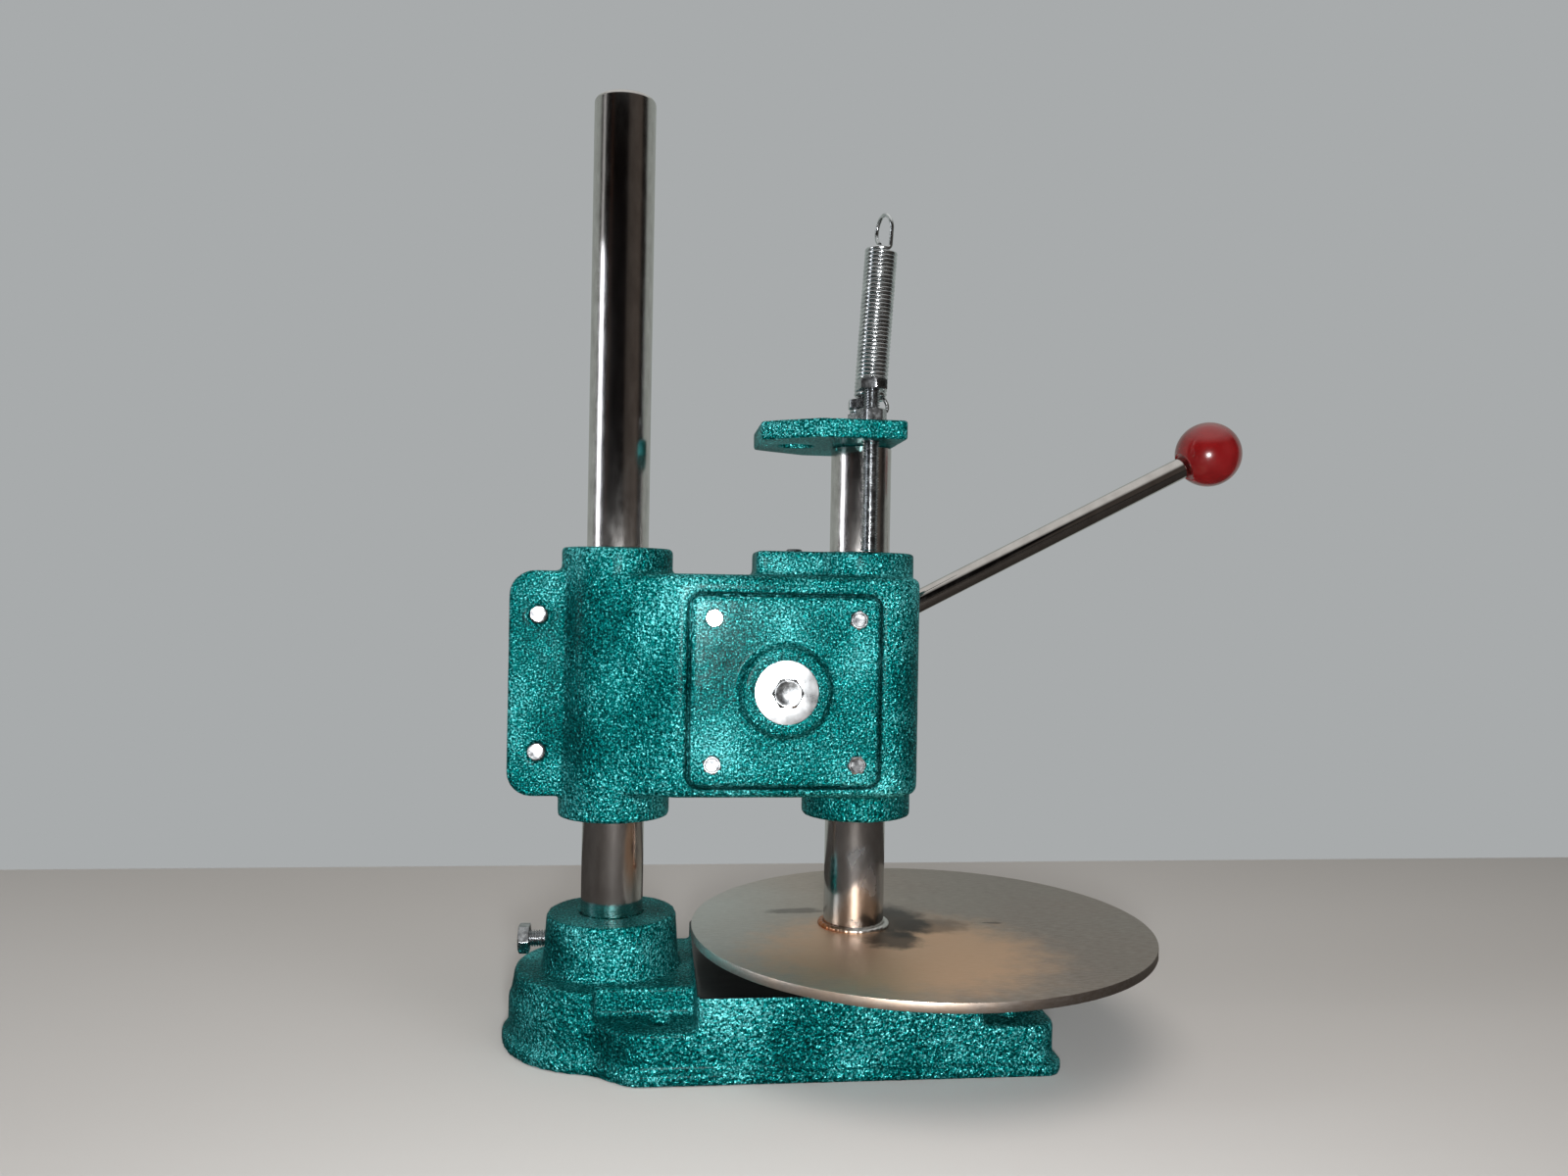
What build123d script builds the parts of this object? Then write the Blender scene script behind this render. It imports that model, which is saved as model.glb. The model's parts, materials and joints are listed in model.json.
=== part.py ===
from build123d import *
import os
from math import acos, cos, pi, radians, sin, sqrt, tan

os.makedirs("parts", exist_ok=True)

# A bench-top hand-lever plate press.  A cast base carries a round column, a cast head is clamped on
# the column, and a lever turns a pinion in the head that drives a rack cut in the ram.  The ram has a
# large thin plate welded off-centre at its foot and a stop bracket bolted on its top.
# Frame: millimetres, origin at the centre of the four bench holes on the underside, +Z up, the lever
# to +X, and the cover plate of the head to the front, -Y.

# ---------------------------------------------------------------- fits and clearances
running_gap = 0.05        # radial, a bar or a shaft that turns or slides in its bore
seat_gap = 0.02           # radial, a piece held tight in its hole
end_gap = 0.3             # along an axis, between faces that turn or travel past each other
backlash = 0.3            # taken off the thickness of the pinion's and the rack's teeth together

# ---------------------------------------------------------------- main axes
column_x = -105.0         # column axis
pinion_x = -25.0          # pinion shaft axis, along Y
pinion_z = 171.0

# ---------------------------------------------------------------- base
bench_spacing_x = 162.0   # bench holes
bench_spacing_y = 92.0
bench_hole = 9.0
body_half_width = 62.6    # front and back of the casting
flange_proud = 3.0
flange_height = 5.5
drum_radius = 48.5        # round end under the column, at bench level
drum_top_radius = 47.5    # at the level of the ear floors
deck_draft = 8.0          # degrees
deck_half_width = 39.0    # between the straight walls behind the left ears
deck_z = 34.8             # top round the column boss
ear_z = 22.3              # floor of the corner ears
table_z = 37.8            # machined table
body_left = -65.0
body_right = 66.0
base_right = 100.0
ear_wall_y = 29.0         # the table is this wide, each way, between the right-hand ears
flare_x = -94.0           # where the left ears reach the full width
ear_notch_x = -111.0      # left end of the notch over each left ear
column_boss_radius = 33.0
column_boss_draft = 4.0
column_boss_z = 60.0
base_wall = 9.0
base_roof = 9.0
rib_thickness = 8.0
pocket_round = 4.0
throat_back = 14.0        # the flares start this far left of the column axis
throat_depth = 6.0        # and this far inside the drum's outline
throat_round = 12.0
flare_round = 14.0
end_round = 10.0
cast_round = 3.0

# ---------------------------------------------------------------- column
column_radius = 15.0
column_foot_z = 7.0
column_top_z = 457.0
bar_rim = 0.8             # chamfer on the ends of the column and the ram

# ---------------------------------------------------------------- hexagon fasteners
m8 = 8.0
m8_flats = 13.0
m8_head = 5.3
m8_nut = 6.5
m5 = 5.0
m5_flats = 8.0
m5_head = 3.5
set_screw_z = 47.0
set_screw_show = 6.2      # bare thread between the boss and the head

# ---------------------------------------------------------------- ram, rack and pinion
module = 2.0
pinion_teeth = 28
pressure_angle = 20.0
pinion_width = 22.0
pitch_radius = module * pinion_teeth / 2
tooth_pitch = pi * module
ram_radius = 15.0
rack_depth = 12.0         # from the ram's axis to the rack's pitch line
ram_stroke = 46.0
ram_x = pinion_x + pitch_radius + rack_depth
tooth_reach = sqrt((pitch_radius + module) ** 2 - (pitch_radius + rack_depth - ram_radius) ** 2)
rack_low_z = pinion_z - ram_stroke - tooth_reach - end_gap
rack_high_z = pinion_z + tooth_reach + end_gap

# ---------------------------------------------------------------- head
head_boss_radius = 27.0
head_bottom_z = 107.5
head_top_z = 237.5
web_bottom_z = 120.5
web_top_z = 225.5
web_front_y = -34.0
web_back_y = 36.0
web_corner = 18.0
web_left_x = -76.0
web_shoulder = 25.0       # round where the web narrows into the column's boss
web_rim = 4.0
pad_corner = 3.0
cavity_radius = pitch_radius + module + 2.5
cavity_half_depth = pinion_width / 2 + 1.0
rear_boss_radius = 21.0
rear_boss_proud = 2.0
pad_length = 53.0         # from the ram's axis to the pad's left end
pad_half_width = 16.0
clamp_left_x = -155.5
clamp_bottom_z = 118.0
clamp_top_z = 226.0
clamp_half_depth = 13.0
clamp_corner = 12.0
clamp_slot = 3.0
clamp_bolt_x = -141.4
clamp_bolt_zs = (139.5, 204.8)
clamp_bolt_proud = 3.0

# ---------------------------------------------------------------- cover
cover_size = 89.0
cover_corner = 5.0
cover_seat_y = -27.0
cover_thickness = 8.0
cover_groove = 1.5
cover_screw_spacing = 68.0
cover_screw_length = 15.0
cover_boss_radius = 22.5
cover_boss_proud = 4.0
cover_boss_draft = 30.0
cover_rim = 1.5
bush_outer = 22.0
bush_housing_radius = 16.0

# ---------------------------------------------------------------- pinion shaft and lever
shaft_radius = 8.0
shaft_washer_radius = 15.0
shaft_washer_thickness = 2.0
shaft_bolt_length = 22.0
key_size = 5.0
key_depth = 3.0
hub_radius = 19.0
hub_width = 23.0
hub_sleeve_radius = 10.5
hub_sleeve_reach = 34.0
hub_pin = 5.0
hub_rim = 2.0
lever_angle = 27.4
lever_radius = 6.0
lever_inner = 10.5
ball_radius = 18.0
ball_reach = 277.5
ball_hole_depth = 14.0

# ---------------------------------------------------------------- plate
plate_radius = 115.0
plate_thickness = 4.5
plate_offset = 34.0       # plate centre to the right of the ram
plate_top_z = 52.0
bead_size = 3.0

# ---------------------------------------------------------------- stop bracket and its fittings
bracket_z = 290.2
bracket_thickness = 9.0
bracket_right = 15.5      # from the ram's axis
bracket_shoulder = 26.0
bracket_left = 52.5
bracket_half_width = 40.0
bracket_nose_half = 22.0
bracket_corner = 3.0
bracket_rim = 0.8
guide_hole = 18.0
guide_hole_offset = 33.0
pad_hole_depth = 14.0
plug_dome = 1.2
stop_offset = 27.0        # stop screw in front of the ram
stop_head_z = 315.0       # underside of the stop screw's head
washer_m8_radius = 8.0
washer_m8_thickness = 1.6
thin_nut = 5.0
stud_depth = 20.0

# ---------------------------------------------------------------- spring
wire = 2.0
coil_radius = 7.25        # to the middle of the wire
coil_turns = 38
loop_neck = 2.5           # straight wire between the last turn and the loop
spring_lean = 3.4         # degrees towards +X
spring_offset = 4.0       # foot of the coil, right of the ram
loop_turn = -75.5         # direction of the top loop's plane, degrees from +X
foot_bulge = 1.8          # how far the foot's wire stands out past the coil

# ---------------------------------------------------------------- worked-out places
cover_face_y = cover_seat_y - cover_thickness
cover_boss_y = cover_face_y - cover_boss_proud
shaft_front_y = cover_boss_y - end_gap
rear_boss_y = web_back_y + rear_boss_proud
hub_front_y = rear_boss_y + 2 * end_gap
shaft_back_y = hub_front_y + hub_width
lever_y = hub_front_y + hub_width / 2
bracket_top_z = bracket_z + bracket_thickness
nut_z = bracket_top_z + washer_m8_thickness
eye_z = nut_z + m8_nut
thin_nut_z = eye_z + wire
stud_top_z = thin_nut_z + thin_nut
coil_foot_z = stud_top_z + end_gap + wire / 2
plate_bottom_z = plate_top_z - plate_thickness
set_screw_head_x = column_x - column_boss_radius - set_screw_show


def front_plane(y, x=0.0, z=0.0):
    """A plane that faces the front, with its own x along +X and its own y along +Z."""
    return Plane(origin=(x, y, z), x_dir=(1, 0, 0), z_dir=(0, -1, 0))


def finish(piece, name):
    """Labels a piece and writes it as parts/name.step."""
    piece.label = name
    export_step(piece, f"parts/{name}.step")


def hex_screw(seat, length, thread, flats, head_height, turn=0.0):
    """A hexagon-headed screw: the head stands on the seat plane, the shank runs back from it."""
    with BuildPart() as screw:
        with BuildSketch(seat):
            RegularPolygon(flats / 2, 6, major_radius=False, rotation=turn)
        extrude(amount=head_height)
        crown = faces().sort_by(Axis(seat.origin, seat.z_dir))[-1]
        chamfer(crown.edges(), length=0.08 * flats)
        with BuildSketch(seat):
            Circle(thread / 2)
        extrude(amount=-length)
        tip = faces().sort_by(Axis(seat.origin, seat.z_dir))[0]
        chamfer(tip.edges(), length=0.1 * thread)
    return screw.part


def hex_nut(seat, thread, flats, height, turn=0.0):
    """A hexagon nut that stands on the seat plane."""
    with BuildPart() as nut:
        with BuildSketch(seat):
            RegularPolygon(flats / 2, 6, major_radius=False, rotation=turn)
        extrude(amount=height)
        crown = faces().sort_by(Axis(seat.origin, seat.z_dir))
        chamfer(crown[-1].edges() + crown[0].edges(), length=0.06 * flats)
        with BuildSketch(seat):
            Circle(thread / 2 + running_gap)
        extrude(amount=height, mode=Mode.SUBTRACT)
    return nut.part


def ring(seat, outer, inner, height):
    """A plain ring, such as a washer or a bush, that stands on the seat plane."""
    with BuildPart() as band:
        with BuildSketch(seat):
            Circle(outer)
            Circle(inner, mode=Mode.SUBTRACT)
        extrude(amount=height)
        chamfer(edges().filter_by(GeomType.CIRCLE), length=0.2)
    return band.part


# ================================================================ base
def bench_outline(round_radius, half_width, right_end):
    """Plan of the base at bench level: the drum, the flares into the left ears, the body."""
    with BuildSketch() as outline:
        with Locations((column_x, 0)):
            Circle(round_radius)
        inner = (column_x - throat_back, round_radius - throat_depth)
        Polygon(
            (inner[0], -inner[1]), (flare_x, -half_width), (right_end, -half_width),
            (right_end, half_width), (flare_x, half_width), (inner[0], inner[1]),
            align=None,
        )
        centre = Vector(column_x, 0)
        throat = outline.vertices().filter_by(
            lambda v: abs((Vector(v) - centre).length - round_radius) < 0.01
        )
        fillet(throat, throat_round)
        shoulder = outline.vertices().filter_by(
            lambda v: abs(v.Y) > half_width - 0.01 and v.X < body_left
        )
        fillet(shoulder.group_by(Axis.X)[0], flare_round)
        corners = outline.vertices().filter_by(lambda v: v.X > right_end - 0.01)
        fillet(corners, end_round)
    return outline.sketch


with BuildPart() as base_casting:
    extrude(
        bench_outline(drum_radius + flange_proud, body_half_width + flange_proud,
                      base_right + flange_proud),
        amount=flange_height,
    )
    extrude(bench_outline(drum_radius, body_half_width, base_right), amount=ear_z)
    # the drum and the deck round the column boss, drawn in towards the top
    with BuildSketch(Plane.XY.offset(ear_z)):
        with Locations((column_x, 0)):
            Circle(drum_top_radius)
        with Locations(((column_x + body_left) / 2, 0)):
            Rectangle(body_left - column_x + 4, 2 * drum_top_radius)
    extrude(amount=deck_z - ear_z, taper=deck_draft)
    # the notch over each left ear, cut back to the straight wall of the deck
    notch_width = body_half_width - deck_half_width
    with BuildSketch(Plane.XY.offset(ear_z)):
        for side in (-1, 1):
            with Locations(((ear_notch_x + body_left + 2) / 2, side * (deck_half_width + notch_width / 2))):
                Rectangle(body_left + 2 - ear_notch_x, notch_width)
    extrude(amount=deck_z - ear_z, mode=Mode.SUBTRACT)
    # the body under the table, and its narrower end between the right-hand ears
    with BuildSketch(Plane.XY.offset(ear_z)):
        with Locations(((body_left + body_right) / 2, 0)):
            Rectangle(body_right - body_left, 2 * body_half_width)
        with Locations(((body_right + base_right) / 2, 0)):
            Rectangle(base_right - body_right, 2 * ear_wall_y)
    extrude(amount=table_z - ear_z)
    # the boss that holds the column
    with BuildSketch(Plane.XY.offset(deck_z)):
        with Locations((column_x, 0)):
            Circle(column_boss_radius)
    extrude(amount=column_boss_z - deck_z, taper=column_boss_draft)
    # rounded casting edges
    upright = edges().filter_by(Axis.Z)
    ear_corners = upright.filter_by(
        lambda e: e.center().Z > ear_z and abs(e.center().Y) > body_half_width - 1
    )
    fillet(ear_corners, cast_round)
    # the hollow underside: two rows of pockets between the ribs, and one under the right-hand end
    pocket_left = body_left + rib_thickness
    pocket_width = (body_right - pocket_left - 2 * rib_thickness) / 3
    pocket_depth_y = body_half_width - base_wall - rib_thickness / 2
    for column_of_pockets in range(3):
        left = pocket_left + column_of_pockets * (pocket_width + rib_thickness)
        for side in (-1, 1):
            with BuildSketch():
                with Locations((left + pocket_width / 2,
                                side * (rib_thickness / 2 + pocket_depth_y / 2))):
                    RectangleRounded(pocket_width, pocket_depth_y, pocket_round)
            extrude(amount=table_z - base_roof, mode=Mode.SUBTRACT)
    with BuildSketch():
        with Locations(((body_right + base_right + rib_thickness - base_wall) / 2, 0)):
            RectangleRounded(base_right - base_wall - body_right - rib_thickness,
                             2 * (ear_wall_y - base_wall), pocket_round)
    extrude(amount=table_z - base_roof, mode=Mode.SUBTRACT)
    # column socket, set-screw hole and bench holes
    with BuildSketch(Plane.XY.offset(column_foot_z)):
        with Locations((column_x, 0)):
            Circle(column_radius + running_gap)
    extrude(amount=column_boss_z, mode=Mode.SUBTRACT)
    with BuildSketch(Plane(origin=(column_x, 0, set_screw_z), x_dir=(0, 1, 0), z_dir=(-1, 0, 0))):
        Circle(m8 / 2 + seat_gap)
    extrude(amount=column_boss_radius + 5, mode=Mode.SUBTRACT)
    with BuildSketch():
        with GridLocations(bench_spacing_x, bench_spacing_y, 2, 2):
            Circle(bench_hole / 2)
    extrude(amount=table_z, mode=Mode.SUBTRACT)
finish(base_casting.part, "base_casting")

set_screw_seat = Plane(origin=(set_screw_head_x, 0, set_screw_z), x_dir=(0, 1, 0), z_dir=(-1, 0, 0))
set_screw_length = column_x - column_radius - 0.1 - set_screw_head_x
column_set_screw = hex_screw(set_screw_seat, set_screw_length, m8, m8_flats, m8_head, turn=0)
finish(column_set_screw, "column_set_screw")

with BuildPart() as column:
    with BuildSketch(Plane.XY.offset(column_foot_z)):
        with Locations((column_x, 0)):
            Circle(column_radius)
    extrude(amount=column_top_z - column_foot_z)
    chamfer(edges().filter_by(GeomType.CIRCLE), length=bar_rim)
finish(column.part, "column")

# ================================================================ head
with BuildPart() as head_casting:
    with BuildSketch(Plane.XY.offset(web_bottom_z)) as web_plan:
        right = ram_x + head_boss_radius
        middle_y = (web_front_y + web_back_y) / 2
        with Locations(((web_left_x + right) / 2, middle_y)):
            Rectangle(right - web_left_x, web_back_y - web_front_y)
        fillet(web_plan.vertices().group_by(Axis.X)[-1], web_corner)
        with Locations((column_x, 0)):
            Circle(head_boss_radius)
        Polygon(
            (column_x, -head_boss_radius), (web_left_x, web_front_y),
            (web_left_x, web_back_y), (column_x, head_boss_radius), align=None,
        )
        shoulders = web_plan.vertices().filter_by(lambda v: abs(v.X - web_left_x) < 0.01)
        fillet(shoulders, web_shoulder)
    extrude(amount=web_top_z - web_bottom_z)
    web_rims = edges().filter_by(Plane.XY).group_by(Axis.Z)
    fillet(web_rims[0] + web_rims[-1], web_rim)
    with BuildSketch(Plane.XY.offset(head_bottom_z)):
        with Locations((column_x, 0), (ram_x, 0)):
            Circle(head_boss_radius)
    extrude(amount=head_top_z - head_bottom_z)
    # pad on the top, left of the ram
    with BuildSketch(Plane.XY.offset(web_top_z - 5)):
        with Locations((ram_x - pad_length / 2, 0)):
            RectangleRounded(pad_length, 2 * pad_half_width, pad_corner)
    extrude(amount=head_top_z - web_top_z + 5)
    # clamp ears on the column's left
    with BuildSketch(front_plane(-clamp_half_depth)) as ear:
        with Locations(((clamp_left_x + column_x) / 2, (clamp_bottom_z + clamp_top_z) / 2)):
            Rectangle(column_x - clamp_left_x, clamp_top_z - clamp_bottom_z)
        fillet(ear.vertices().group_by(Axis.X)[0], clamp_corner)
    extrude(amount=-2 * clamp_half_depth)
    # rear boss of the pinion shaft
    with BuildSketch(front_plane(web_back_y - 5, pinion_x, pinion_z)):
        Circle(rear_boss_radius)
    extrude(amount=-(rear_boss_proud + 5))
    # bores, the clamp's slot and its bolt holes
    with BuildSketch(Plane.XY.offset(head_bottom_z)):
        with Locations((column_x, 0)):
            Circle(column_radius + running_gap)
        with Locations((ram_x, 0)):
            Circle(ram_radius + running_gap)
        with Locations(((clamp_left_x + column_x) / 2 - 1, 0)):
            Rectangle(column_x - clamp_left_x + 2, clamp_slot)
    extrude(amount=head_top_z - head_bottom_z, mode=Mode.SUBTRACT)
    with BuildSketch(front_plane(-clamp_half_depth)):
        with Locations(*[(clamp_bolt_x, z) for z in clamp_bolt_zs]):
            Circle(m8 / 2 + seat_gap)
    extrude(amount=-2 * clamp_half_depth, mode=Mode.SUBTRACT)
    # recess for the cover, the pinion's chamber and the rear bush's seat
    with BuildSketch(front_plane(web_front_y - 1, pinion_x, pinion_z)):
        RectangleRounded(cover_size + 2 * cover_groove, cover_size + 2 * cover_groove,
                         cover_corner + cover_groove)
    extrude(amount=-(cover_seat_y - web_front_y + 1), mode=Mode.SUBTRACT)
    with BuildSketch(front_plane(cover_seat_y, pinion_x, pinion_z)):
        Circle(cavity_radius)
    extrude(amount=-(cavity_half_depth - cover_seat_y), mode=Mode.SUBTRACT)
    with BuildSketch(front_plane(cavity_half_depth, pinion_x, pinion_z)):
        Circle(bush_outer / 2 + seat_gap)
    extrude(amount=-(rear_boss_y - cavity_half_depth), mode=Mode.SUBTRACT)
    with BuildSketch(front_plane(cover_seat_y, pinion_x, pinion_z)):
        with GridLocations(cover_screw_spacing, cover_screw_spacing, 2, 2):
            Circle(m5 / 2 + seat_gap)
    extrude(amount=-(cover_screw_length - cover_thickness + 1), mode=Mode.SUBTRACT)
    # the small hole in the pad
    with BuildSketch(Plane.XY.offset(head_top_z)):
        with Locations((ram_x - guide_hole_offset, 0)):
            Circle(m8 / 2 + seat_gap)
    extrude(amount=-pad_hole_depth, mode=Mode.SUBTRACT)
finish(head_casting.part, "head_casting")

with BuildPart() as guide_hole_plug:
    with BuildSketch(Plane.XY.offset(head_top_z - pad_hole_depth + 1)):
        with Locations((ram_x - guide_hole_offset, 0)):
            Circle(m8 / 2)
    extrude(amount=pad_hole_depth - 1 + plug_dome + 0.2)
    fillet(edges().group_by(Axis.Z)[-1], plug_dome)
finish(guide_hole_plug.part, "guide_hole_plug")

clamp_seat_y = clamp_half_depth + washer_m8_thickness
clamp_bolt_length = clamp_seat_y + clamp_half_depth + clamp_bolt_proud
clamp_bolts = []
clamp_washers = []
for bolt_z in clamp_bolt_zs:
    back_seat = Plane(origin=(clamp_bolt_x, clamp_seat_y, bolt_z), x_dir=(-1, 0, 0), z_dir=(0, 1, 0))
    clamp_bolts.append(hex_screw(back_seat, clamp_bolt_length, m8, m8_flats, m8_head, turn=12))
    washer_seat = Plane(origin=(clamp_bolt_x, clamp_half_depth, bolt_z), x_dir=(-1, 0, 0),
                        z_dir=(0, 1, 0))
    clamp_washers.append(ring(washer_seat, washer_m8_radius, m8 / 2 + 0.2, washer_m8_thickness))
finish(Compound(children=clamp_bolts), "clamp_bolts")
finish(Compound(children=clamp_washers), "clamp_washers")

# ================================================================ cover of the pinion chamber
with BuildPart() as cover_plate:
    with BuildSketch(front_plane(cover_seat_y, pinion_x, pinion_z)):
        RectangleRounded(cover_size, cover_size, cover_corner)
    extrude(amount=cover_thickness)
    fillet(faces().sort_by(Axis.Y)[0].edges(), cover_rim)
    with BuildSketch(front_plane(cover_face_y, pinion_x, pinion_z)):
        Circle(cover_boss_radius)
    extrude(amount=cover_boss_proud, taper=cover_boss_draft)
    with BuildSketch(front_plane(-cavity_half_depth, pinion_x, pinion_z)):
        Circle(bush_housing_radius)
    extrude(amount=-(cover_seat_y + cavity_half_depth))
    with BuildSketch(front_plane(cover_boss_y, pinion_x, pinion_z)):
        Circle(bush_outer / 2 + seat_gap)
    extrude(amount=-(-cavity_half_depth - cover_boss_y), mode=Mode.SUBTRACT)
    with BuildSketch(front_plane(cover_face_y, pinion_x, pinion_z)):
        with GridLocations(cover_screw_spacing, cover_screw_spacing, 2, 2):
            Circle(m5 / 2 + 0.25)
    extrude(amount=-cover_thickness, mode=Mode.SUBTRACT)
finish(cover_plate.part, "cover_plate")

cover_screws = []
half_spacing = cover_screw_spacing / 2
for side_x, side_z, turn in ((-1, 1, 10), (1, 1, 25), (-1, -1, 40), (1, -1, 5)):
    place = front_plane(cover_face_y, pinion_x + side_x * half_spacing,
                        pinion_z + side_z * half_spacing)
    cover_screws.append(hex_screw(place, cover_screw_length, m5, m5_flats, m5_head, turn))
finish(Compound(children=cover_screws), "cover_screws")

front_bush_length = -cavity_half_depth - cover_boss_y
front_bush = ring(front_plane(-cavity_half_depth, pinion_x, pinion_z), bush_outer / 2,
                  shaft_radius + running_gap, front_bush_length)
finish(front_bush, "front_bush")
rear_bush = ring(front_plane(rear_boss_y, pinion_x, pinion_z), bush_outer / 2,
                 shaft_radius + running_gap, rear_boss_y - cavity_half_depth)
finish(rear_bush, "rear_bush")


# ================================================================ pinion, shaft and lever
def involute(angle):
    """The involute function of an angle in radians."""
    return tan(angle) - angle


def tooth_outline():
    """Half of a tooth's outline as points, from its root to its tip, about the +X direction."""
    base_radius = pitch_radius * cos(radians(pressure_angle))
    root_radius = pitch_radius - 1.25 * module
    half_at_pitch = (tooth_pitch - backlash) / (4 * pitch_radius)
    steps = 4
    points = []
    for step in range(steps + 1):
        radius = base_radius + (pitch_radius + module - base_radius) * step / steps
        roll = involute(acos(base_radius / radius))
        half = half_at_pitch + involute(radians(pressure_angle)) - roll
        points.append((radius * cos(half), radius * sin(half)))
    first_half = half_at_pitch + involute(radians(pressure_angle))
    inner = root_radius - 1
    return [(inner * cos(first_half), inner * sin(first_half))] + points


with BuildPart() as pinion_gear:
    with BuildSketch(front_plane(pinion_width / 2, pinion_x, pinion_z)):
        Circle(pitch_radius - 1.25 * module)
        flank = tooth_outline()
        outline = flank + [(x, -y) for x, y in reversed(flank)]
        with PolarLocations(0, pinion_teeth, start_angle=180 / pinion_teeth):
            Polygon(*outline, align=None)
        Circle(shaft_radius + seat_gap, mode=Mode.SUBTRACT)
        with Locations((0, shaft_radius)):
            Rectangle(key_size + 2 * seat_gap, 2 * (key_size - key_depth) + 0.2, mode=Mode.SUBTRACT)
    extrude(amount=pinion_width)
finish(pinion_gear.part, "pinion_gear")

with BuildPart() as pinion_key:
    with BuildSketch(front_plane(pinion_width / 2 - 1, pinion_x, pinion_z)):
        with Locations((0, shaft_radius - key_depth + key_size / 2)):
            Rectangle(key_size, key_size)
    extrude(amount=pinion_width - 2)
finish(pinion_key.part, "pinion_key")

lever_dir = Vector(cos(radians(lever_angle)), 0, sin(radians(lever_angle)))
cross_dir = Vector(-sin(radians(lever_angle)), 0, cos(radians(lever_angle)))
hub_centre = Vector(pinion_x, lever_y, pinion_z)

with BuildPart() as pinion_shaft:
    with BuildSketch(front_plane(shaft_back_y, pinion_x, pinion_z)):
        Circle(shaft_radius)
    extrude(amount=shaft_back_y - shaft_front_y)
    chamfer(edges().filter_by(GeomType.CIRCLE), length=0.5)
    with BuildSketch(front_plane(pinion_width / 2 - 1, pinion_x, pinion_z)):
        with Locations((0, shaft_radius)):
            Rectangle(key_size, 2 * key_depth)
    extrude(amount=pinion_width - 2, mode=Mode.SUBTRACT)
    with BuildSketch(front_plane(shaft_front_y, pinion_x, pinion_z)):
        Circle(m8 / 2 + seat_gap)
    extrude(amount=-shaft_bolt_length, mode=Mode.SUBTRACT)
    with BuildSketch(Plane(origin=hub_centre - cross_dir * hub_radius, z_dir=cross_dir)):
        Circle(hub_pin / 2 + seat_gap)
    extrude(amount=2 * hub_radius, mode=Mode.SUBTRACT)
finish(pinion_shaft.part, "pinion_shaft")

shaft_washer = ring(front_plane(shaft_front_y, pinion_x, pinion_z), shaft_washer_radius,
                    m8 / 2 + 0.2, shaft_washer_thickness)
finish(shaft_washer, "shaft_washer")
shaft_bolt = hex_screw(front_plane(shaft_front_y - shaft_washer_thickness, pinion_x, pinion_z),
                       shaft_bolt_length, m8, m8_flats, m8_head, turn=30)
finish(shaft_bolt, "shaft_bolt")

with BuildPart() as lever_hub:
    with BuildSketch(front_plane(hub_front_y + hub_width, pinion_x, pinion_z)):
        Circle(hub_radius)
    extrude(amount=hub_width)
    fillet(edges().filter_by(GeomType.CIRCLE), hub_rim)
    with BuildSketch(Plane(origin=hub_centre, z_dir=lever_dir)):
        Circle(hub_sleeve_radius)
    extrude(amount=hub_sleeve_reach)
    with BuildSketch(Plane(origin=hub_centre, z_dir=lever_dir)):
        Circle(lever_radius + seat_gap)
    extrude(amount=hub_sleeve_reach, mode=Mode.SUBTRACT)
    with BuildSketch(front_plane(hub_front_y + hub_width, pinion_x, pinion_z)):
        Circle(shaft_radius + seat_gap)
    extrude(amount=hub_width, mode=Mode.SUBTRACT)
    with BuildSketch(Plane(origin=hub_centre - cross_dir * hub_radius, z_dir=cross_dir)):
        Circle(hub_pin / 2 + seat_gap)
    extrude(amount=2 * hub_radius, mode=Mode.SUBTRACT)
finish(lever_hub.part, "lever_hub")

with BuildPart() as hub_cross_pin:
    pin_half = hub_radius - 0.5
    with BuildSketch(Plane(origin=hub_centre - cross_dir * pin_half, z_dir=cross_dir)):
        Circle(hub_pin / 2)
    extrude(amount=2 * pin_half)
    chamfer(edges().filter_by(GeomType.CIRCLE), length=0.4)
finish(hub_cross_pin.part, "hub_cross_pin")

rod_end = ball_reach - ball_radius + ball_hole_depth
with BuildPart() as lever_rod:
    with BuildSketch(Plane(origin=hub_centre + lever_dir * lever_inner, z_dir=lever_dir)):
        Circle(lever_radius)
    extrude(amount=rod_end - lever_inner)
    chamfer(edges().filter_by(GeomType.CIRCLE), length=0.5)
finish(lever_rod.part, "lever_rod")

with BuildPart() as ball_knob:
    with Locations(Plane(origin=hub_centre + lever_dir * ball_reach, z_dir=lever_dir)):
        Sphere(ball_radius)
    with BuildSketch(Plane(origin=hub_centre + lever_dir * (rod_end + seat_gap), z_dir=lever_dir)):
        Circle(lever_radius + seat_gap)
    extrude(amount=-ball_radius * 1.2, mode=Mode.SUBTRACT)
finish(ball_knob.part, "ball_knob")

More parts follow.
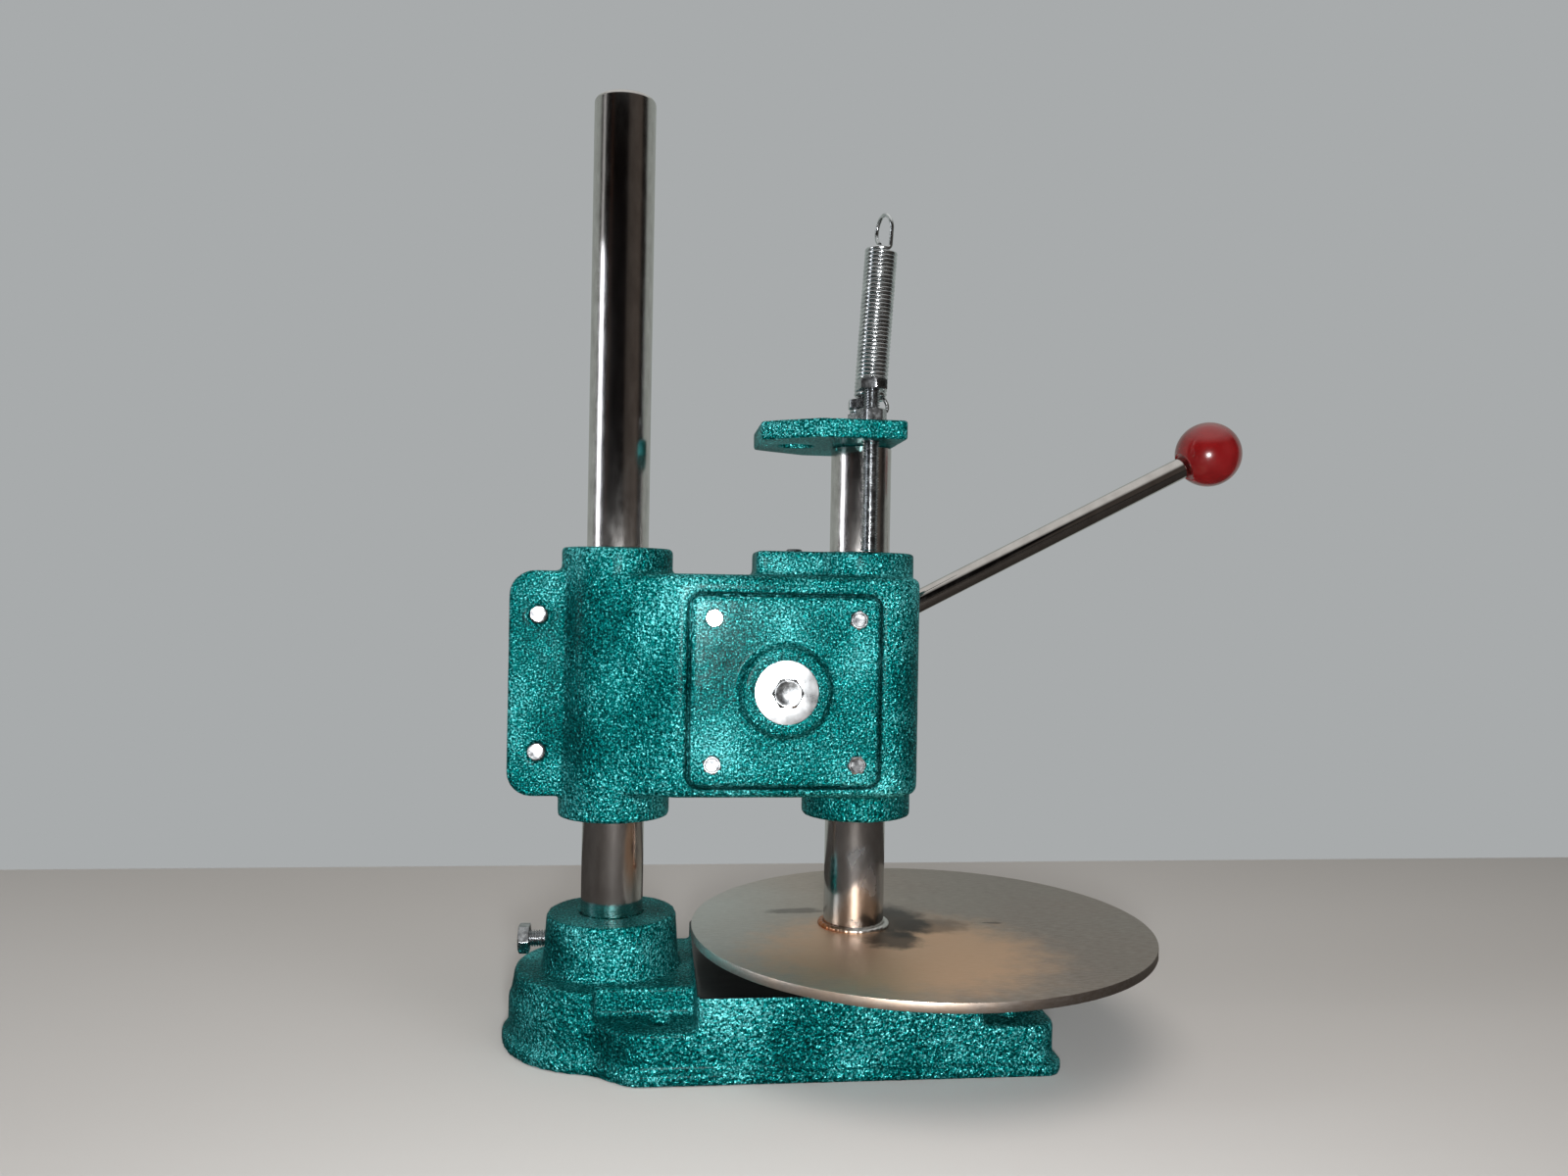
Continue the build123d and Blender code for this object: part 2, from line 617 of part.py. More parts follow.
# ================================================================ ram and plate
with BuildPart() as ram:
    with BuildSketch(Plane.XY.offset(plate_top_z)):
        with Locations((ram_x, 0)):
            Circle(ram_radius)
    extrude(amount=bracket_z - plate_top_z)
    chamfer(edges().group_by(Axis.Z)[-1], length=bar_rim)
    # the rack: tips, pitch line and roots are planes to the left of the ram's axis
    tip_x = ram_x - rack_depth - module
    root_x = ram_x - rack_depth + 1.25 * module
    slope = tan(radians(pressure_angle))
    half_space = (tooth_pitch + backlash) / 4
    with BuildSketch(front_plane(ram_radius, tip_x - ram_radius / 2, (rack_low_z + rack_high_z) / 2)):
        Rectangle(ram_radius, rack_high_z - rack_low_z)
    extrude(amount=2 * ram_radius, mode=Mode.SUBTRACT)
    first_space = round((rack_low_z - pinion_z) / tooth_pitch)
    last_space = round((rack_high_z - pinion_z) / tooth_pitch)
    with BuildSketch(front_plane(ram_radius, 0, pinion_z)):
        with Locations(*[(0, (n + 0.5) * tooth_pitch) for n in range(first_space, last_space)]):
            Polygon(
                (tip_x - 1, -half_space - (module + 1) * slope),
                (root_x, -half_space + 1.25 * module * slope),
                (root_x, half_space - 1.25 * module * slope),
                (tip_x - 1, half_space + (module + 1) * slope),
                align=None,
            )
    extrude(amount=2 * ram_radius, mode=Mode.SUBTRACT)
    with BuildSketch(Plane.XY.offset(bracket_z)):
        with Locations((ram_x, 0)):
            Circle(m8 / 2 + seat_gap)
    extrude(amount=-stud_depth, mode=Mode.SUBTRACT)
finish(ram.part, "ram")

with BuildPart() as press_plate:
    with BuildSketch(Plane.XY.offset(plate_bottom_z)):
        with Locations((ram_x + plate_offset, 0)):
            Circle(plate_radius)
    extrude(amount=plate_thickness)
    chamfer(edges().filter_by(GeomType.CIRCLE), length=0.3)
finish(press_plate.part, "press_plate")

with BuildPart() as weld_bead:
    with BuildSketch(Plane(origin=(ram_x, 0, plate_top_z), x_dir=(1, 0, 0), z_dir=(0, -1, 0))):
        with BuildLine():
            foot = ram_radius + seat_gap
            Line((foot, 0), (foot + bead_size, 0))
            ThreePointArc((foot + bead_size, 0), (foot + 0.6 * bead_size, 0.6 * bead_size),
                          (foot, 0.8 * bead_size))
            Line((foot, 0.8 * bead_size), (foot, 0))
        make_face()
    revolve(axis=Axis((ram_x, 0, 0), (0, 0, 1)))
finish(weld_bead.part, "weld_bead")

# ================================================================ stop bracket
with BuildPart() as stop_bracket:
    with BuildSketch(Plane.XY.offset(bracket_z)) as bracket_plan:
        Polygon(
            (ram_x + bracket_right, -bracket_half_width),
            (ram_x - bracket_shoulder, -bracket_half_width),
            (ram_x - bracket_left, -bracket_nose_half),
            (ram_x - bracket_left, bracket_nose_half),
            (ram_x - bracket_shoulder, bracket_half_width),
            (ram_x + bracket_right, bracket_half_width),
            align=None,
        )
        fillet(bracket_plan.vertices(), bracket_corner)
    extrude(amount=bracket_thickness)
    rims = edges().filter_by(Plane.XY).group_by(Axis.Z)
    fillet(rims[0] + rims[-1], bracket_rim)
    with BuildSketch(Plane.XY.offset(bracket_z)):
        with Locations((ram_x, 0)):
            Circle(m8 / 2 + 0.2)
        with Locations((ram_x, -stop_offset)):
            Circle(m8 / 2 + running_gap)
        with Locations((ram_x - guide_hole_offset, 0)):
            Circle(guide_hole / 2)
    extrude(amount=bracket_thickness, mode=Mode.SUBTRACT)
finish(stop_bracket.part, "stop_bracket")

stop_seat = Plane(origin=(ram_x, -stop_offset, stop_head_z), x_dir=(1, 0, 0), z_dir=(0, 0, 1))
stop_screw_length = stop_head_z - head_top_z - end_gap
stop_screw = hex_screw(stop_seat, stop_screw_length, m8, m8_flats, m8_head, turn=36)
finish(stop_screw, "stop_screw")
stop_nut_seat = Plane(origin=(ram_x, -stop_offset, bracket_top_z), x_dir=(1, 0, 0), z_dir=(0, 0, 1))
stop_lock_nut = hex_nut(stop_nut_seat, m8, m8_flats, m8_nut, turn=4)
finish(stop_lock_nut, "stop_lock_nut")

with BuildPart() as bracket_stud:
    with BuildSketch(Plane.XY.offset(bracket_z - stud_depth + end_gap)):
        with Locations((ram_x, 0)):
            Circle(m8 / 2)
    extrude(amount=stud_top_z - bracket_z + stud_depth - end_gap)
    chamfer(edges().filter_by(GeomType.CIRCLE), length=0.8)
finish(bracket_stud.part, "bracket_stud")


def on_stud(z):
    """The level plane across the stud at height z."""
    return Plane(origin=(ram_x, 0, z), x_dir=(1, 0, 0), z_dir=(0, 0, 1))


stud_washer = ring(on_stud(bracket_top_z), washer_m8_radius, m8 / 2 + 0.2, washer_m8_thickness)
finish(stud_washer, "stud_washer")
bracket_nut = hex_nut(on_stud(nut_z), m8, m8_flats, m8_nut, turn=8)
finish(bracket_nut, "bracket_nut")
spring_nut = hex_nut(on_stud(thin_nut_z), m8, m8_flats, thin_nut, turn=28)
finish(spring_nut, "spring_nut")

# ================================================================ spring
spring_up = Vector(sin(radians(spring_lean)), 0, cos(radians(spring_lean)))
coil_foot = Vector(ram_x + spring_offset, 0, coil_foot_z)
coil_plane = Plane(origin=coil_foot, x_dir=(cos(radians(spring_lean)), 0, -sin(radians(spring_lean))),
                   z_dir=(0, -1, 0))
coil_height = (coil_turns - 1) * wire
coil_top = coil_foot + spring_up * coil_height
loop_side = Vector(cos(radians(loop_turn)), sin(radians(loop_turn)), 0)
loop_plane = Plane(origin=coil_top, x_dir=loop_side, z_dir=loop_side.cross(spring_up))
loop_rise = coil_radius + wire / 2 + loop_neck

with BuildPart() as return_spring:
    # closed turns of wire, as rings that run into each other
    with BuildSketch(coil_plane):
        for turn in range(coil_turns):
            with Locations((coil_radius, turn * wire)):
                Circle(wire / 2 + 0.06)
    revolve(axis=Axis(coil_foot, spring_up))
    # the loop at the top: the last turn runs up and round, back to the axis
    with BuildLine(loop_plane) as hook:
        Line((coil_radius, 0), (coil_radius, loop_rise))
        CenterArc((0, loop_rise), coil_radius, 0, 250)
    with BuildSketch(Plane(origin=hook.line @ 0, z_dir=hook.line % 0)):
        Circle(wire / 2)
    sweep(path=hook.line)
    # the foot: an eye round the stud, and the wire that rises from it into the first turn
    eye_radius = m8 / 2 + wire / 2 + 0.3
    with BuildSketch(front_plane(0, ram_x, eye_z + wire / 2)):
        with Locations((eye_radius, 0)):
            Circle(wire / 2)
    revolve(axis=Axis((ram_x, 0, 0), (0, 0, 1)))
    with BuildLine(front_plane(0, ram_x, eye_z + wire / 2)) as foot_wire:
        rise = coil_foot_z - eye_z - wire / 2
        side = spring_offset + coil_radius * cos(radians(spring_lean))
        FilletPolyline((eye_radius, 0), (side + foot_bulge, 0), (side, rise), radius=foot_bulge)
    with BuildSketch(Plane(origin=foot_wire.line @ 0, z_dir=foot_wire.line % 0)):
        Circle(wire / 2)
    sweep(path=foot_wire.line)
finish(return_spring.part, "return_spring")
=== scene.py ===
import json
from math import atan2, cos, hypot, pi, radians, sin, sqrt, tan

import bpy
from mathutils import Matrix, Vector


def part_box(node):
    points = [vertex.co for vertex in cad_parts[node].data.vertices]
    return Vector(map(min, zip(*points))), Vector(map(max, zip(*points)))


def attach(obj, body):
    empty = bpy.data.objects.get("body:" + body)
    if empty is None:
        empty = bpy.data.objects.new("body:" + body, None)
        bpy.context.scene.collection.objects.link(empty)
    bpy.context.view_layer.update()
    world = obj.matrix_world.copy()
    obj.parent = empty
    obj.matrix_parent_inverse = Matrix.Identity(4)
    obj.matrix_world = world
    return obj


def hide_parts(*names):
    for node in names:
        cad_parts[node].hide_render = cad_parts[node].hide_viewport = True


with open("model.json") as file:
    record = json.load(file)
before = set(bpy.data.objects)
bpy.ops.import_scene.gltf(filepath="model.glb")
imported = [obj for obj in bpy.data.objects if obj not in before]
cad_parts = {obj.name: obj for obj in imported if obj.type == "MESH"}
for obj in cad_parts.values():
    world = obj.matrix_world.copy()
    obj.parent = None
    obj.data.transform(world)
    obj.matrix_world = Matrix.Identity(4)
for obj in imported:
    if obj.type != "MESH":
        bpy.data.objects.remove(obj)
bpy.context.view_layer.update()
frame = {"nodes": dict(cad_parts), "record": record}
mm = 0.001

# %% [markdown]
# Every operator in Blender works on what is selected. The frame arrives with all its parts selected, so
# each step starts by selecting one piece alone. Faces are then chosen by where they are and which way
# they look, which keeps working if a size changes.
# %% Selecting
def pick(*pieces):
    """Selects these pieces and nothing else. The last one is the active one."""
    bpy.ops.object.select_all(action="DESELECT")
    for piece in pieces:
        piece.select_set(True)
        bpy.context.view_layer.objects.active = piece


def edit_faces(piece, wanted):
    """Opens edit mode with only the faces selected for which wanted(centre, normal) is true."""
    pick(piece)
    mesh = piece.data
    for parts in (mesh.vertices, mesh.edges, mesh.polygons):
        parts.foreach_set("select", [False] * len(parts))
    chosen = 0
    for face in mesh.polygons:
        face.select = wanted(face.center, face.normal)
        chosen += face.select
    bpy.context.scene.tool_settings.mesh_select_mode = (False, False, True)
    bpy.ops.object.mode_set(mode="EDIT")
    return chosen


def every_face(centre, normal):
    return True


def close_edit():
    bpy.ops.object.mode_set(mode="OBJECT")


# %% [markdown]
# A modifier is applied as soon as it is set, so a piece is always a plain mesh between steps. Two repairs
# come back often: points that lie on one another are merged, and faces are turned to look outwards.
# %% Modifiers, shading and repairs
def apply_modifier(piece, kind, **settings):
    """Adds one modifier, sets it and applies it at once."""
    pick(piece)
    modifier = piece.modifiers.new(kind.lower(), kind)
    for key, value in settings.items():
        setattr(modifier, key, value)
    bpy.ops.object.modifier_apply(modifier=modifier.name)


def shade(piece, degrees=32):
    """Smooth shading that keeps edges sharper than the angle crisp."""
    pick(piece)
    bpy.ops.object.shade_smooth_by_angle(angle=radians(degrees))


def merge_doubles(piece, distance=0.002 * mm):
    pick(piece)
    bpy.ops.object.mode_set(mode="EDIT")
    bpy.ops.mesh.select_all(action="SELECT")
    bpy.ops.mesh.remove_doubles(threshold=distance)
    close_edit()


def point_outwards(piece):
    pick(piece)
    bpy.ops.object.mode_set(mode="EDIT")
    bpy.ops.mesh.select_all(action="SELECT")
    bpy.ops.mesh.normals_make_consistent(inside=False)
    close_edit()


# %% [markdown]
# Bolts, nuts and washers are turned and forged upright, on the Z axis with their seat at zero, and then
# carried to their seat. The seat is a point, the direction the head faces, and the direction from which
# the turn of the hexagon is measured.
# %% Carrying a piece to its seat
UP = Vector((0, 0, 1))
LEFT = Vector((-1, 0, 0))
RIGHT = Vector((1, 0, 0))
FRONT = Vector((0, -1, 0))
BACK = Vector((0, 1, 0))


def carry(piece, seat, facing=UP, across=RIGHT, turn=0.0):
    """Moves an upright piece to its seat and bakes the place into the mesh."""
    z = facing.normalized()
    x = (across - across.dot(z) * z).normalized()
    y = z.cross(x)
    turned = Matrix((x, y, z)).transposed() @ Matrix.Rotation(radians(turn), 3, "Z")
    piece.matrix_world = Matrix.Translation(seat) @ turned.to_4x4()
    pick(piece)
    bpy.ops.object.transform_apply(location=True, rotation=True, scale=True)
    return piece


def middle(node):
    """The middle of a CAD node's box."""
    low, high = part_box(node)
    return (low + high) / 2


def triangles(piece):
    piece.data.calc_loop_triangles()
    return len(piece.data.loop_triangles)


def finish_piece(piece, body, finish, node):
    """Gives a piece its finish, puts it under its body's empty and hides the CAD node that it stands for.
    """
    piece.data.materials.append(finish)
    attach(piece, body)
    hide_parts(node)
    print(f"{piece.name}: {triangles(piece)} triangles, on {body}")


# %% [markdown]
# The camera stands a little left of the press, level with the middle of the head, and is turned a few
# degrees towards the lever. It is held almost level, with a slight roll, so uprights stay upright.
# %% Camera
camera_place = Vector((-86, -582, 219.5)) * mm
camera_turn = 6.2
camera_roll = 1.0
bpy.ops.object.camera_add()
camera = bpy.context.object
camera.matrix_world = (
    Matrix.Translation(camera_place)
    @ Matrix.Rotation(radians(-camera_turn), 4, "Z")
    @ Matrix.Rotation(radians(90), 4, "X")
    @ Matrix.Rotation(radians(camera_roll), 4, "Z")
)
camera.data.lens = 27
camera.data.sensor_width = 36
camera.data.clip_start = 0.01
bpy.context.scene.camera = camera
print("camera", [round(v, 3) for v in camera_place], "lens", camera.data.lens)

# %% [markdown]
# A material is a small network of nodes. One function adds a node, sets its properties, and either sets
# or links its inputs. Colours are written as on a paint chart, in sRGB hex, and turned to the linear
# values that Blender mixes.
# %% Colour and nodes
def linear(hex_colour):
    """An sRGB hex colour as linear red, green and blue, with a full alpha."""
    values = [int(hex_colour[i : i + 2], 16) / 255 for i in (1, 3, 5)]
    bent = [v / 12.92 if v <= 0.04045 else ((v + 0.055) / 1.055) ** 2.4 for v in values]
    return (*bent, 1.0)


def add(tree, kind, inputs=None, **settings):
    """Adds a node. Settings are its properties; inputs are values, or sockets to link."""
    made = tree.nodes.new(kind)
    for key, value in settings.items():
        setattr(made, key, value)
    for key, value in (inputs or {}).items():
        if isinstance(value, bpy.types.NodeSocket):
            tree.links.new(value, made.inputs[key])
        else:
            made.inputs[key].default_value = value
    return made


def ramp(tree, value, *stops):
    """A colour ramp: each stop is a position and a hex colour."""
    made = add(tree, "ShaderNodeValToRGB", {"Fac": value})
    points = made.color_ramp.elements
    while len(points) < len(stops):
        points.new(0.5)
    for point, (place, colour) in zip(points, stops):
        point.position = place
        point.color = linear(colour)
    return made.outputs["Color"]


def new_material(name):
    """A material with one Principled shader, and the place on the piece that its patterns read."""
    material = bpy.data.materials.new(name)
    material.use_nodes = True
    tree = material.node_tree
    tree.nodes.clear()
    shader = add(tree, "ShaderNodeBsdfPrincipled")
    add(tree, "ShaderNodeOutputMaterial", {"Surface": shader.outputs["BSDF"]})
    place = add(tree, "ShaderNodeTexCoord").outputs["Object"]
    return material, tree, shader, place


def fine_scale(size_mm):
    """The noise scale that gives features of this size, in a model measured in metres."""
    return 1 / (size_mm * mm)


# %% [markdown]
# ## Hammertone enamel
# The castings are painted with a hammered metallic enamel: aluminium flake floats in a tinted varnish
# that dries in little dimples, one or two millimetres across. Lit from the front they sparkle; in the
# shade the paint goes deep bottle green. One noise dents the surface, and a finer one colours it from
# dark varnish to bright specks, the brightest of which are painted glints; slow clouds say where the
# flake lies thick. A coarser, weaker noise is the sand-cast iron under the paint. The flake makes the
# paint half a metal, and the varnish tints its gloss.
# %% Hammertone enamel
def hammertone_enamel(name, dimple_mm=1.7, flake_mm=1.0, cloud_mm=38, sand_mm=5):
    material, tree, shader, place = new_material(name)
    dimples = add(tree, "ShaderNodeTexNoise",
                  {"Vector": place, "Scale": fine_scale(dimple_mm), "Detail": 2.0, "Roughness": 0.55})
    flake_and_glint = add(tree, "ShaderNodeTexNoise",
                {"Vector": place, "Scale": fine_scale(flake_mm), "Detail": 2.0, "Roughness": 0.6})
    clouds = add(tree, "ShaderNodeTexNoise",
                 {"Vector": place, "Scale": fine_scale(cloud_mm), "Detail": 3.0})
    thickness = add(tree, "ShaderNodeMath",
                    {0: clouds.outputs["Fac"], 1: 0.45, 2: flake_and_glint.outputs["Fac"]},
                    operation="MULTIPLY_ADD")
    # The brightest stop of this ramp is a painted glint, put into the colour itself.
    colour = ramp(tree, thickness.outputs["Value"],
                  (0.54, "#002728"), (0.66, "#004d4c"), (0.77, "#037170"), (0.90, "#6ad0d2"))
    sand_grain = add(tree, "ShaderNodeTexNoise",
                     {"Vector": place, "Scale": fine_scale(sand_mm), "Detail": 2.0})
    iron = add(tree, "ShaderNodeBump",
               {"Height": sand_grain.outputs["Fac"], "Strength": 0.4, "Distance": 0.6 * mm})
    hammered = add(tree, "ShaderNodeBump",
                   {"Height": dimples.outputs["Fac"], "Normal": iron.outputs["Normal"],
                    "Strength": 1.0, "Distance": 1.6 * mm})
    tree.links.new(colour, shader.inputs["Base Color"])
    tree.links.new(hammered.outputs["Normal"], shader.inputs["Normal"])
    shader.inputs["Metallic"].default_value = 0.7
    shader.inputs["Roughness"].default_value = 0.31
    shader.inputs["Specular Tint"].default_value = linear("#3fb4b6")
    shader.inputs["Coat Weight"].default_value = 0.03
    shader.inputs["Coat Roughness"].default_value = 0.22
    return material


enamel = hammertone_enamel("hammertone_enamel_teal")
print("made", enamel.name)

# %% [markdown]
# ## The machined table
# The top of the base under the plate was milled flat after painting and left oily. Its nearly black
# colour is a painted dark reflection of the plate's underside; the faint straight cutter lines are its
# own.
# %% Milled cast iron, nearly black as a painted dark reflection
def milled_iron(name):
    material, tree, shader, place = new_material(name)
    stretched = add(tree, "ShaderNodeMapping", {"Vector": place, "Scale": (0.04, 1.0, 1.0)})
    cutter = add(tree, "ShaderNodeTexNoise",
                 {"Vector": stretched.outputs["Vector"], "Scale": fine_scale(1.4), "Detail": 3.0})
    # Nearly black: a painted dark reflection of the plate's underside.
    colour = ramp(tree, cutter.outputs["Fac"], (0.3, "#0d0f10"), (0.7, "#1d2021"))
    lines = add(tree, "ShaderNodeBump",
                {"Height": cutter.outputs["Fac"], "Strength": 0.25, "Distance": 0.1 * mm})
    tree.links.new(colour, shader.inputs["Base Color"])
    tree.links.new(lines.outputs["Normal"], shader.inputs["Normal"])
    shader.inputs["Metallic"].default_value = 0.5
    shader.inputs["Roughness"].default_value = 0.42
    return material


table_iron = milled_iron("milled_cast_iron_painted_dark_reflection")
print("made", table_iron.name)

# %% [markdown]
# ## Metals
# Bare and plated metals differ mostly in roughness and in what marks them: hard chrome is a mirror with
# a few scuffs, zinc plate is bright but cloudy, ground plate has straight scratches. One function makes
# them all from a few real sizes, so each finish is a line of values that can be compared.
# %% Metal finishes
def metal(name, dark, light, roughness, spread, grain_mm, stretch=(1, 1, 1), bump=0.1, depth_mm=0.02):
    """A metal whose colour and roughness drift with a noise of the given grain, which also dents it."""
    material, tree, shader, place = new_material(name)
    drawn = add(tree, "ShaderNodeMapping", {"Vector": place, "Scale": stretch})
    grain = add(tree, "ShaderNodeTexNoise",
                {"Vector": drawn.outputs["Vector"], "Scale": fine_scale(grain_mm), "Detail": 4.0,
                 "Roughness": 0.6})
    colour = ramp(tree, grain.outputs["Fac"], (0.32, dark), (0.68, light))
    rough = add(tree, "ShaderNodeMapRange",
                {"Value": grain.outputs["Fac"], "From Min": 0.3, "From Max": 0.7,
                 "To Min": roughness - spread, "To Max": roughness + spread})
    dents = add(tree, "ShaderNodeBump",
                {"Height": grain.outputs["Fac"], "Strength": bump, "Distance": depth_mm * mm})
    tree.links.new(colour, shader.inputs["Base Color"])
    tree.links.new(rough.outputs["Result"], shader.inputs["Roughness"])
    tree.links.new(dents.outputs["Normal"], shader.inputs["Normal"])
    shader.inputs["Metallic"].default_value = 1.0
    return material


chrome = metal("hard_chrome", "#b9b4b0", "#cdc9c5", 0.07, 0.03, 9, (1, 1, 0.5), 0.12, 0.02)
zinc = metal("bright_zinc_plate", "#7f8285", "#bcbfc1", 0.25, 0.06, 2.6, bump=0.15, depth_mm=0.03)
# This paler zinc is a painted highlight: the washer that wears it looks whiter in the near lamp's glare.
zinc_painted_highlight = metal("zinc_plate_painted_highlight", "#c6c9cb", "#dfe1e3", 0.3, 0.04, 4.0, bump=0.1, depth_mm=0.02)
turned_steel = metal("turned_steel_oiled", "#5a5a5c", "#8a8a8c", 0.36, 0.08, 1.2, (1, 0.1, 1), 0.2)
turned_bronze = metal("turned_bronze", "#8a6232", "#b98a4a", 0.34, 0.06, 1.2, (1, 0.1, 1), 0.2)
spring_wire = metal("zinc_plated_spring_wire", "#b4b7b9", "#dfe2e3", 0.2, 0.04, 6.0, bump=0.02)
for made in (chrome, zinc, zinc_painted_highlight, turned_steel, turned_bronze, spring_wire):
    print("made", made.name)

# %% [markdown]
# Some finishes have marks in known places, round the ram's foot above all. A mark is a distance from a
# point, stretched, with its edge broken up by noise, and it says how much of a second colour to mix in.
# %% Marks and mixed colours
ram_axis = middle("ram")
plate_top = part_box("press_plate")[1].z
foot = Vector((ram_axis.x, ram_axis.y, plate_top))
mark_raggedness = 16 * mm
print("the ram's foot, mm:", [round(v / mm, 1) for v in foot])


def mark(tree, place, centre, stretch, radius, strength, soft=0.35):
    """The share of a ragged mark: its strength round the centre, fading to nothing outside."""
    moved = add(tree, "ShaderNodeVectorMath", {0: place, 1: centre}, operation="SUBTRACT")
    sized = add(tree, "ShaderNodeVectorMath",
                {0: moved.outputs["Vector"], 1: stretch}, operation="MULTIPLY")
    away = add(tree, "ShaderNodeVectorMath", {0: sized.outputs["Vector"]}, operation="LENGTH")
    ragged = add(tree, "ShaderNodeTexNoise", {"Vector": place, "Scale": fine_scale(9), "Detail": 5.0})
    edge = add(tree, "ShaderNodeMath",
               {0: ragged.outputs["Fac"], 1: -mark_raggedness, 2: away.outputs["Value"]},
               operation="MULTIPLY_ADD")
    inside = add(tree, "ShaderNodeMapRange",
                 {"Value": edge.outputs["Value"], "To Min": 1.0, "To Max": 0.0,
                  "From Min": radius * (1 - soft) - mark_raggedness / 2,
                  "From Max": radius * (1 + soft) - mark_raggedness / 2},
                 interpolation_type="SMOOTHSTEP")
    share = add(tree, "ShaderNodeMath", {0: inside.outputs["Result"], 1: strength}, operation="MULTIPLY")
    return share.outputs["Value"]


def blend_colours(tree, share, first, second):
    """Mixes two colours. A colour mix takes its share at input 0 and its colours at inputs 6 and 7."""
    mixed = add(tree, "ShaderNodeMix", data_type="RGBA")
    for socket, value in ((0, share), (6, first), (7, second)):
        if isinstance(value, bpy.types.NodeSocket):
            tree.links.new(value, mixed.inputs[socket])
        else:
            mixed.inputs[socket].default_value = value
    return mixed.outputs[2]


# %% [markdown]
# The round plate is surface-ground mild steel. The wheel left straight lines along X, so their noise is
# stretched four to one. Handling left faint clouds in its gloss. Across the plate the steel is painted
# pale on the left and brown to the right, a painted reflection of the room whose edge the clouds break up.
# The warm patch in front of the ram is a painted reflection too; the soot beside the ram is from the weld.
# %% Ground plate
def ground_plate(name):
    material, tree, shader, place = new_material(name)
    drawn = add(tree, "ShaderNodeMapping", {"Vector": place, "Scale": (0.25, 1.0, 1.0)})
    lines = add(tree, "ShaderNodeTexNoise",
                {"Vector": drawn.outputs["Vector"], "Scale": fine_scale(1.3), "Detail": 4.0,
                 "Roughness": 0.65})
    clouds = add(tree, "ShaderNodeTexNoise",
                 {"Vector": place, "Scale": fine_scale(60), "Detail": 4.0, "Roughness": 0.6})
    side = add(tree, "ShaderNodeSeparateXYZ", {"Vector": place}).outputs["X"]
    drift = add(tree, "ShaderNodeMath", {0: clouds.outputs["Fac"], 1: 60 * mm, 2: side},
                operation="MULTIPLY_ADD")
    across = add(tree, "ShaderNodeMapRange",
                 {"Value": drift.outputs["Value"],
                  "From Min": foot.x - 70 * mm, "From Max": foot.x + 150 * mm})
    # Painted reflection of the room: pale on the left, brown towards the right.
    painted_room_reflection = ramp(tree, across.outputs["Result"],
                   (0.1, "#c9ccc8"), (0.42, "#b3a598"), (0.6, "#95877b"), (0.9, "#887a70"))
    lined = ramp(tree, lines.outputs["Fac"], (0.3, "#958d86"), (0.7, "#d6d0ca"))
    colour = blend_colours(tree, 0.3, painted_room_reflection, lined)
    # The first mark, in front of the ram, is a painted warm reflection; the rest are soot.
    painted_warm_reflection, soot = linear("#e8bd98"), linear("#26211e")
    for offset, stretch, size, strength, tint in (
        ((14, -48, 0), (0.5, 0.55, 1), 32, 0.7, painted_warm_reflection),
        ((22, 4, 0), (0.95, 0.6, 1), 15, 0.9, soot),
        ((15, -27, 0), (0.9, 0.8, 1), 12, 0.8, soot),
        ((38, -6, 0), (0.7, 0.9, 1), 12, 0.5, soot),
        ((-26, 24, 0), (0.5, 1.6, 1), 7, 0.5, soot),
        ((67, -2, 0), (0.6, 2.4, 1), 3, 0.6, soot),
    ):
        share = mark(tree, place, foot + Vector(offset) * mm, stretch, size * mm, strength)
        colour = blend_colours(tree, share, colour, tint)
    rough = add(tree, "ShaderNodeMapRange",
                {"Value": clouds.outputs["Fac"], "From Min": 0.3, "From Max": 0.7,
                 "To Min": 0.4, "To Max": 0.5})
    scratches = add(tree, "ShaderNodeBump",
                    {"Height": lines.outputs["Fac"], "Strength": 0.25, "Distance": 0.03 * mm})
    tree.links.new(colour, shader.inputs["Base Color"])
    tree.links.new(rough.outputs["Result"], shader.inputs["Roughness"])
    tree.links.new(scratches.outputs["Normal"], shader.inputs["Normal"])
    shader.inputs["Metallic"].default_value = 1.0
    return material


plate_steel = ground_plate("surface_ground_mild_steel")
print("made", plate_steel.name)

# %% [markdown]
# The upright bars were polished round and round after plating, so a lamp is drawn out along the bar
# into a long soft streak. That is anisotropy: the gloss is wide one way and narrow the other, and the
# tangent says which way is which. The ram's foot also has pale scuffs from the heat of its weld.
# %% Chrome polished round the bar
def polished_round(name, scuffs=()):
    """Chrome with its gloss drawn out along Z. A scuff has a place, a stretch and a size in mm."""
    material = metal(name, "#bab6b3", "#cfccc9", 0.15, 0.02, 4, (1, 1, 0.4), 0.12, 0.02)
    tree = material.node_tree
    shader = next(node for node in tree.nodes if node.type == "BSDF_PRINCIPLED")
    place = add(tree, "ShaderNodeTexCoord").outputs["Object"]
    round_way = add(tree, "ShaderNodeTangent", direction_type="RADIAL", axis="Z")
    tree.links.new(round_way.outputs["Tangent"], shader.inputs["Tangent"])
    shader.inputs["Anisotropic"].default_value = 0.9
    colour = shader.inputs["Base Color"].links[0].from_socket
    rough = shader.inputs["Roughness"].links[0].from_socket
    for where, stretch, size in scuffs:
        share = mark(tree, place, where, stretch, size * mm, strength=0.45, soft=0.8)
        colour = blend_colours(tree, share, colour, linear("#c9d3dc"))
        duller = add(tree, "ShaderNodeMath", {0: share, 1: 0.3, 2: rough}, operation="MULTIPLY_ADD")
        rough = duller.outputs["Value"]
    tree.links.new(colour, shader.inputs["Base Color"])
    tree.links.new(rough, shader.inputs["Roughness"])
    return material


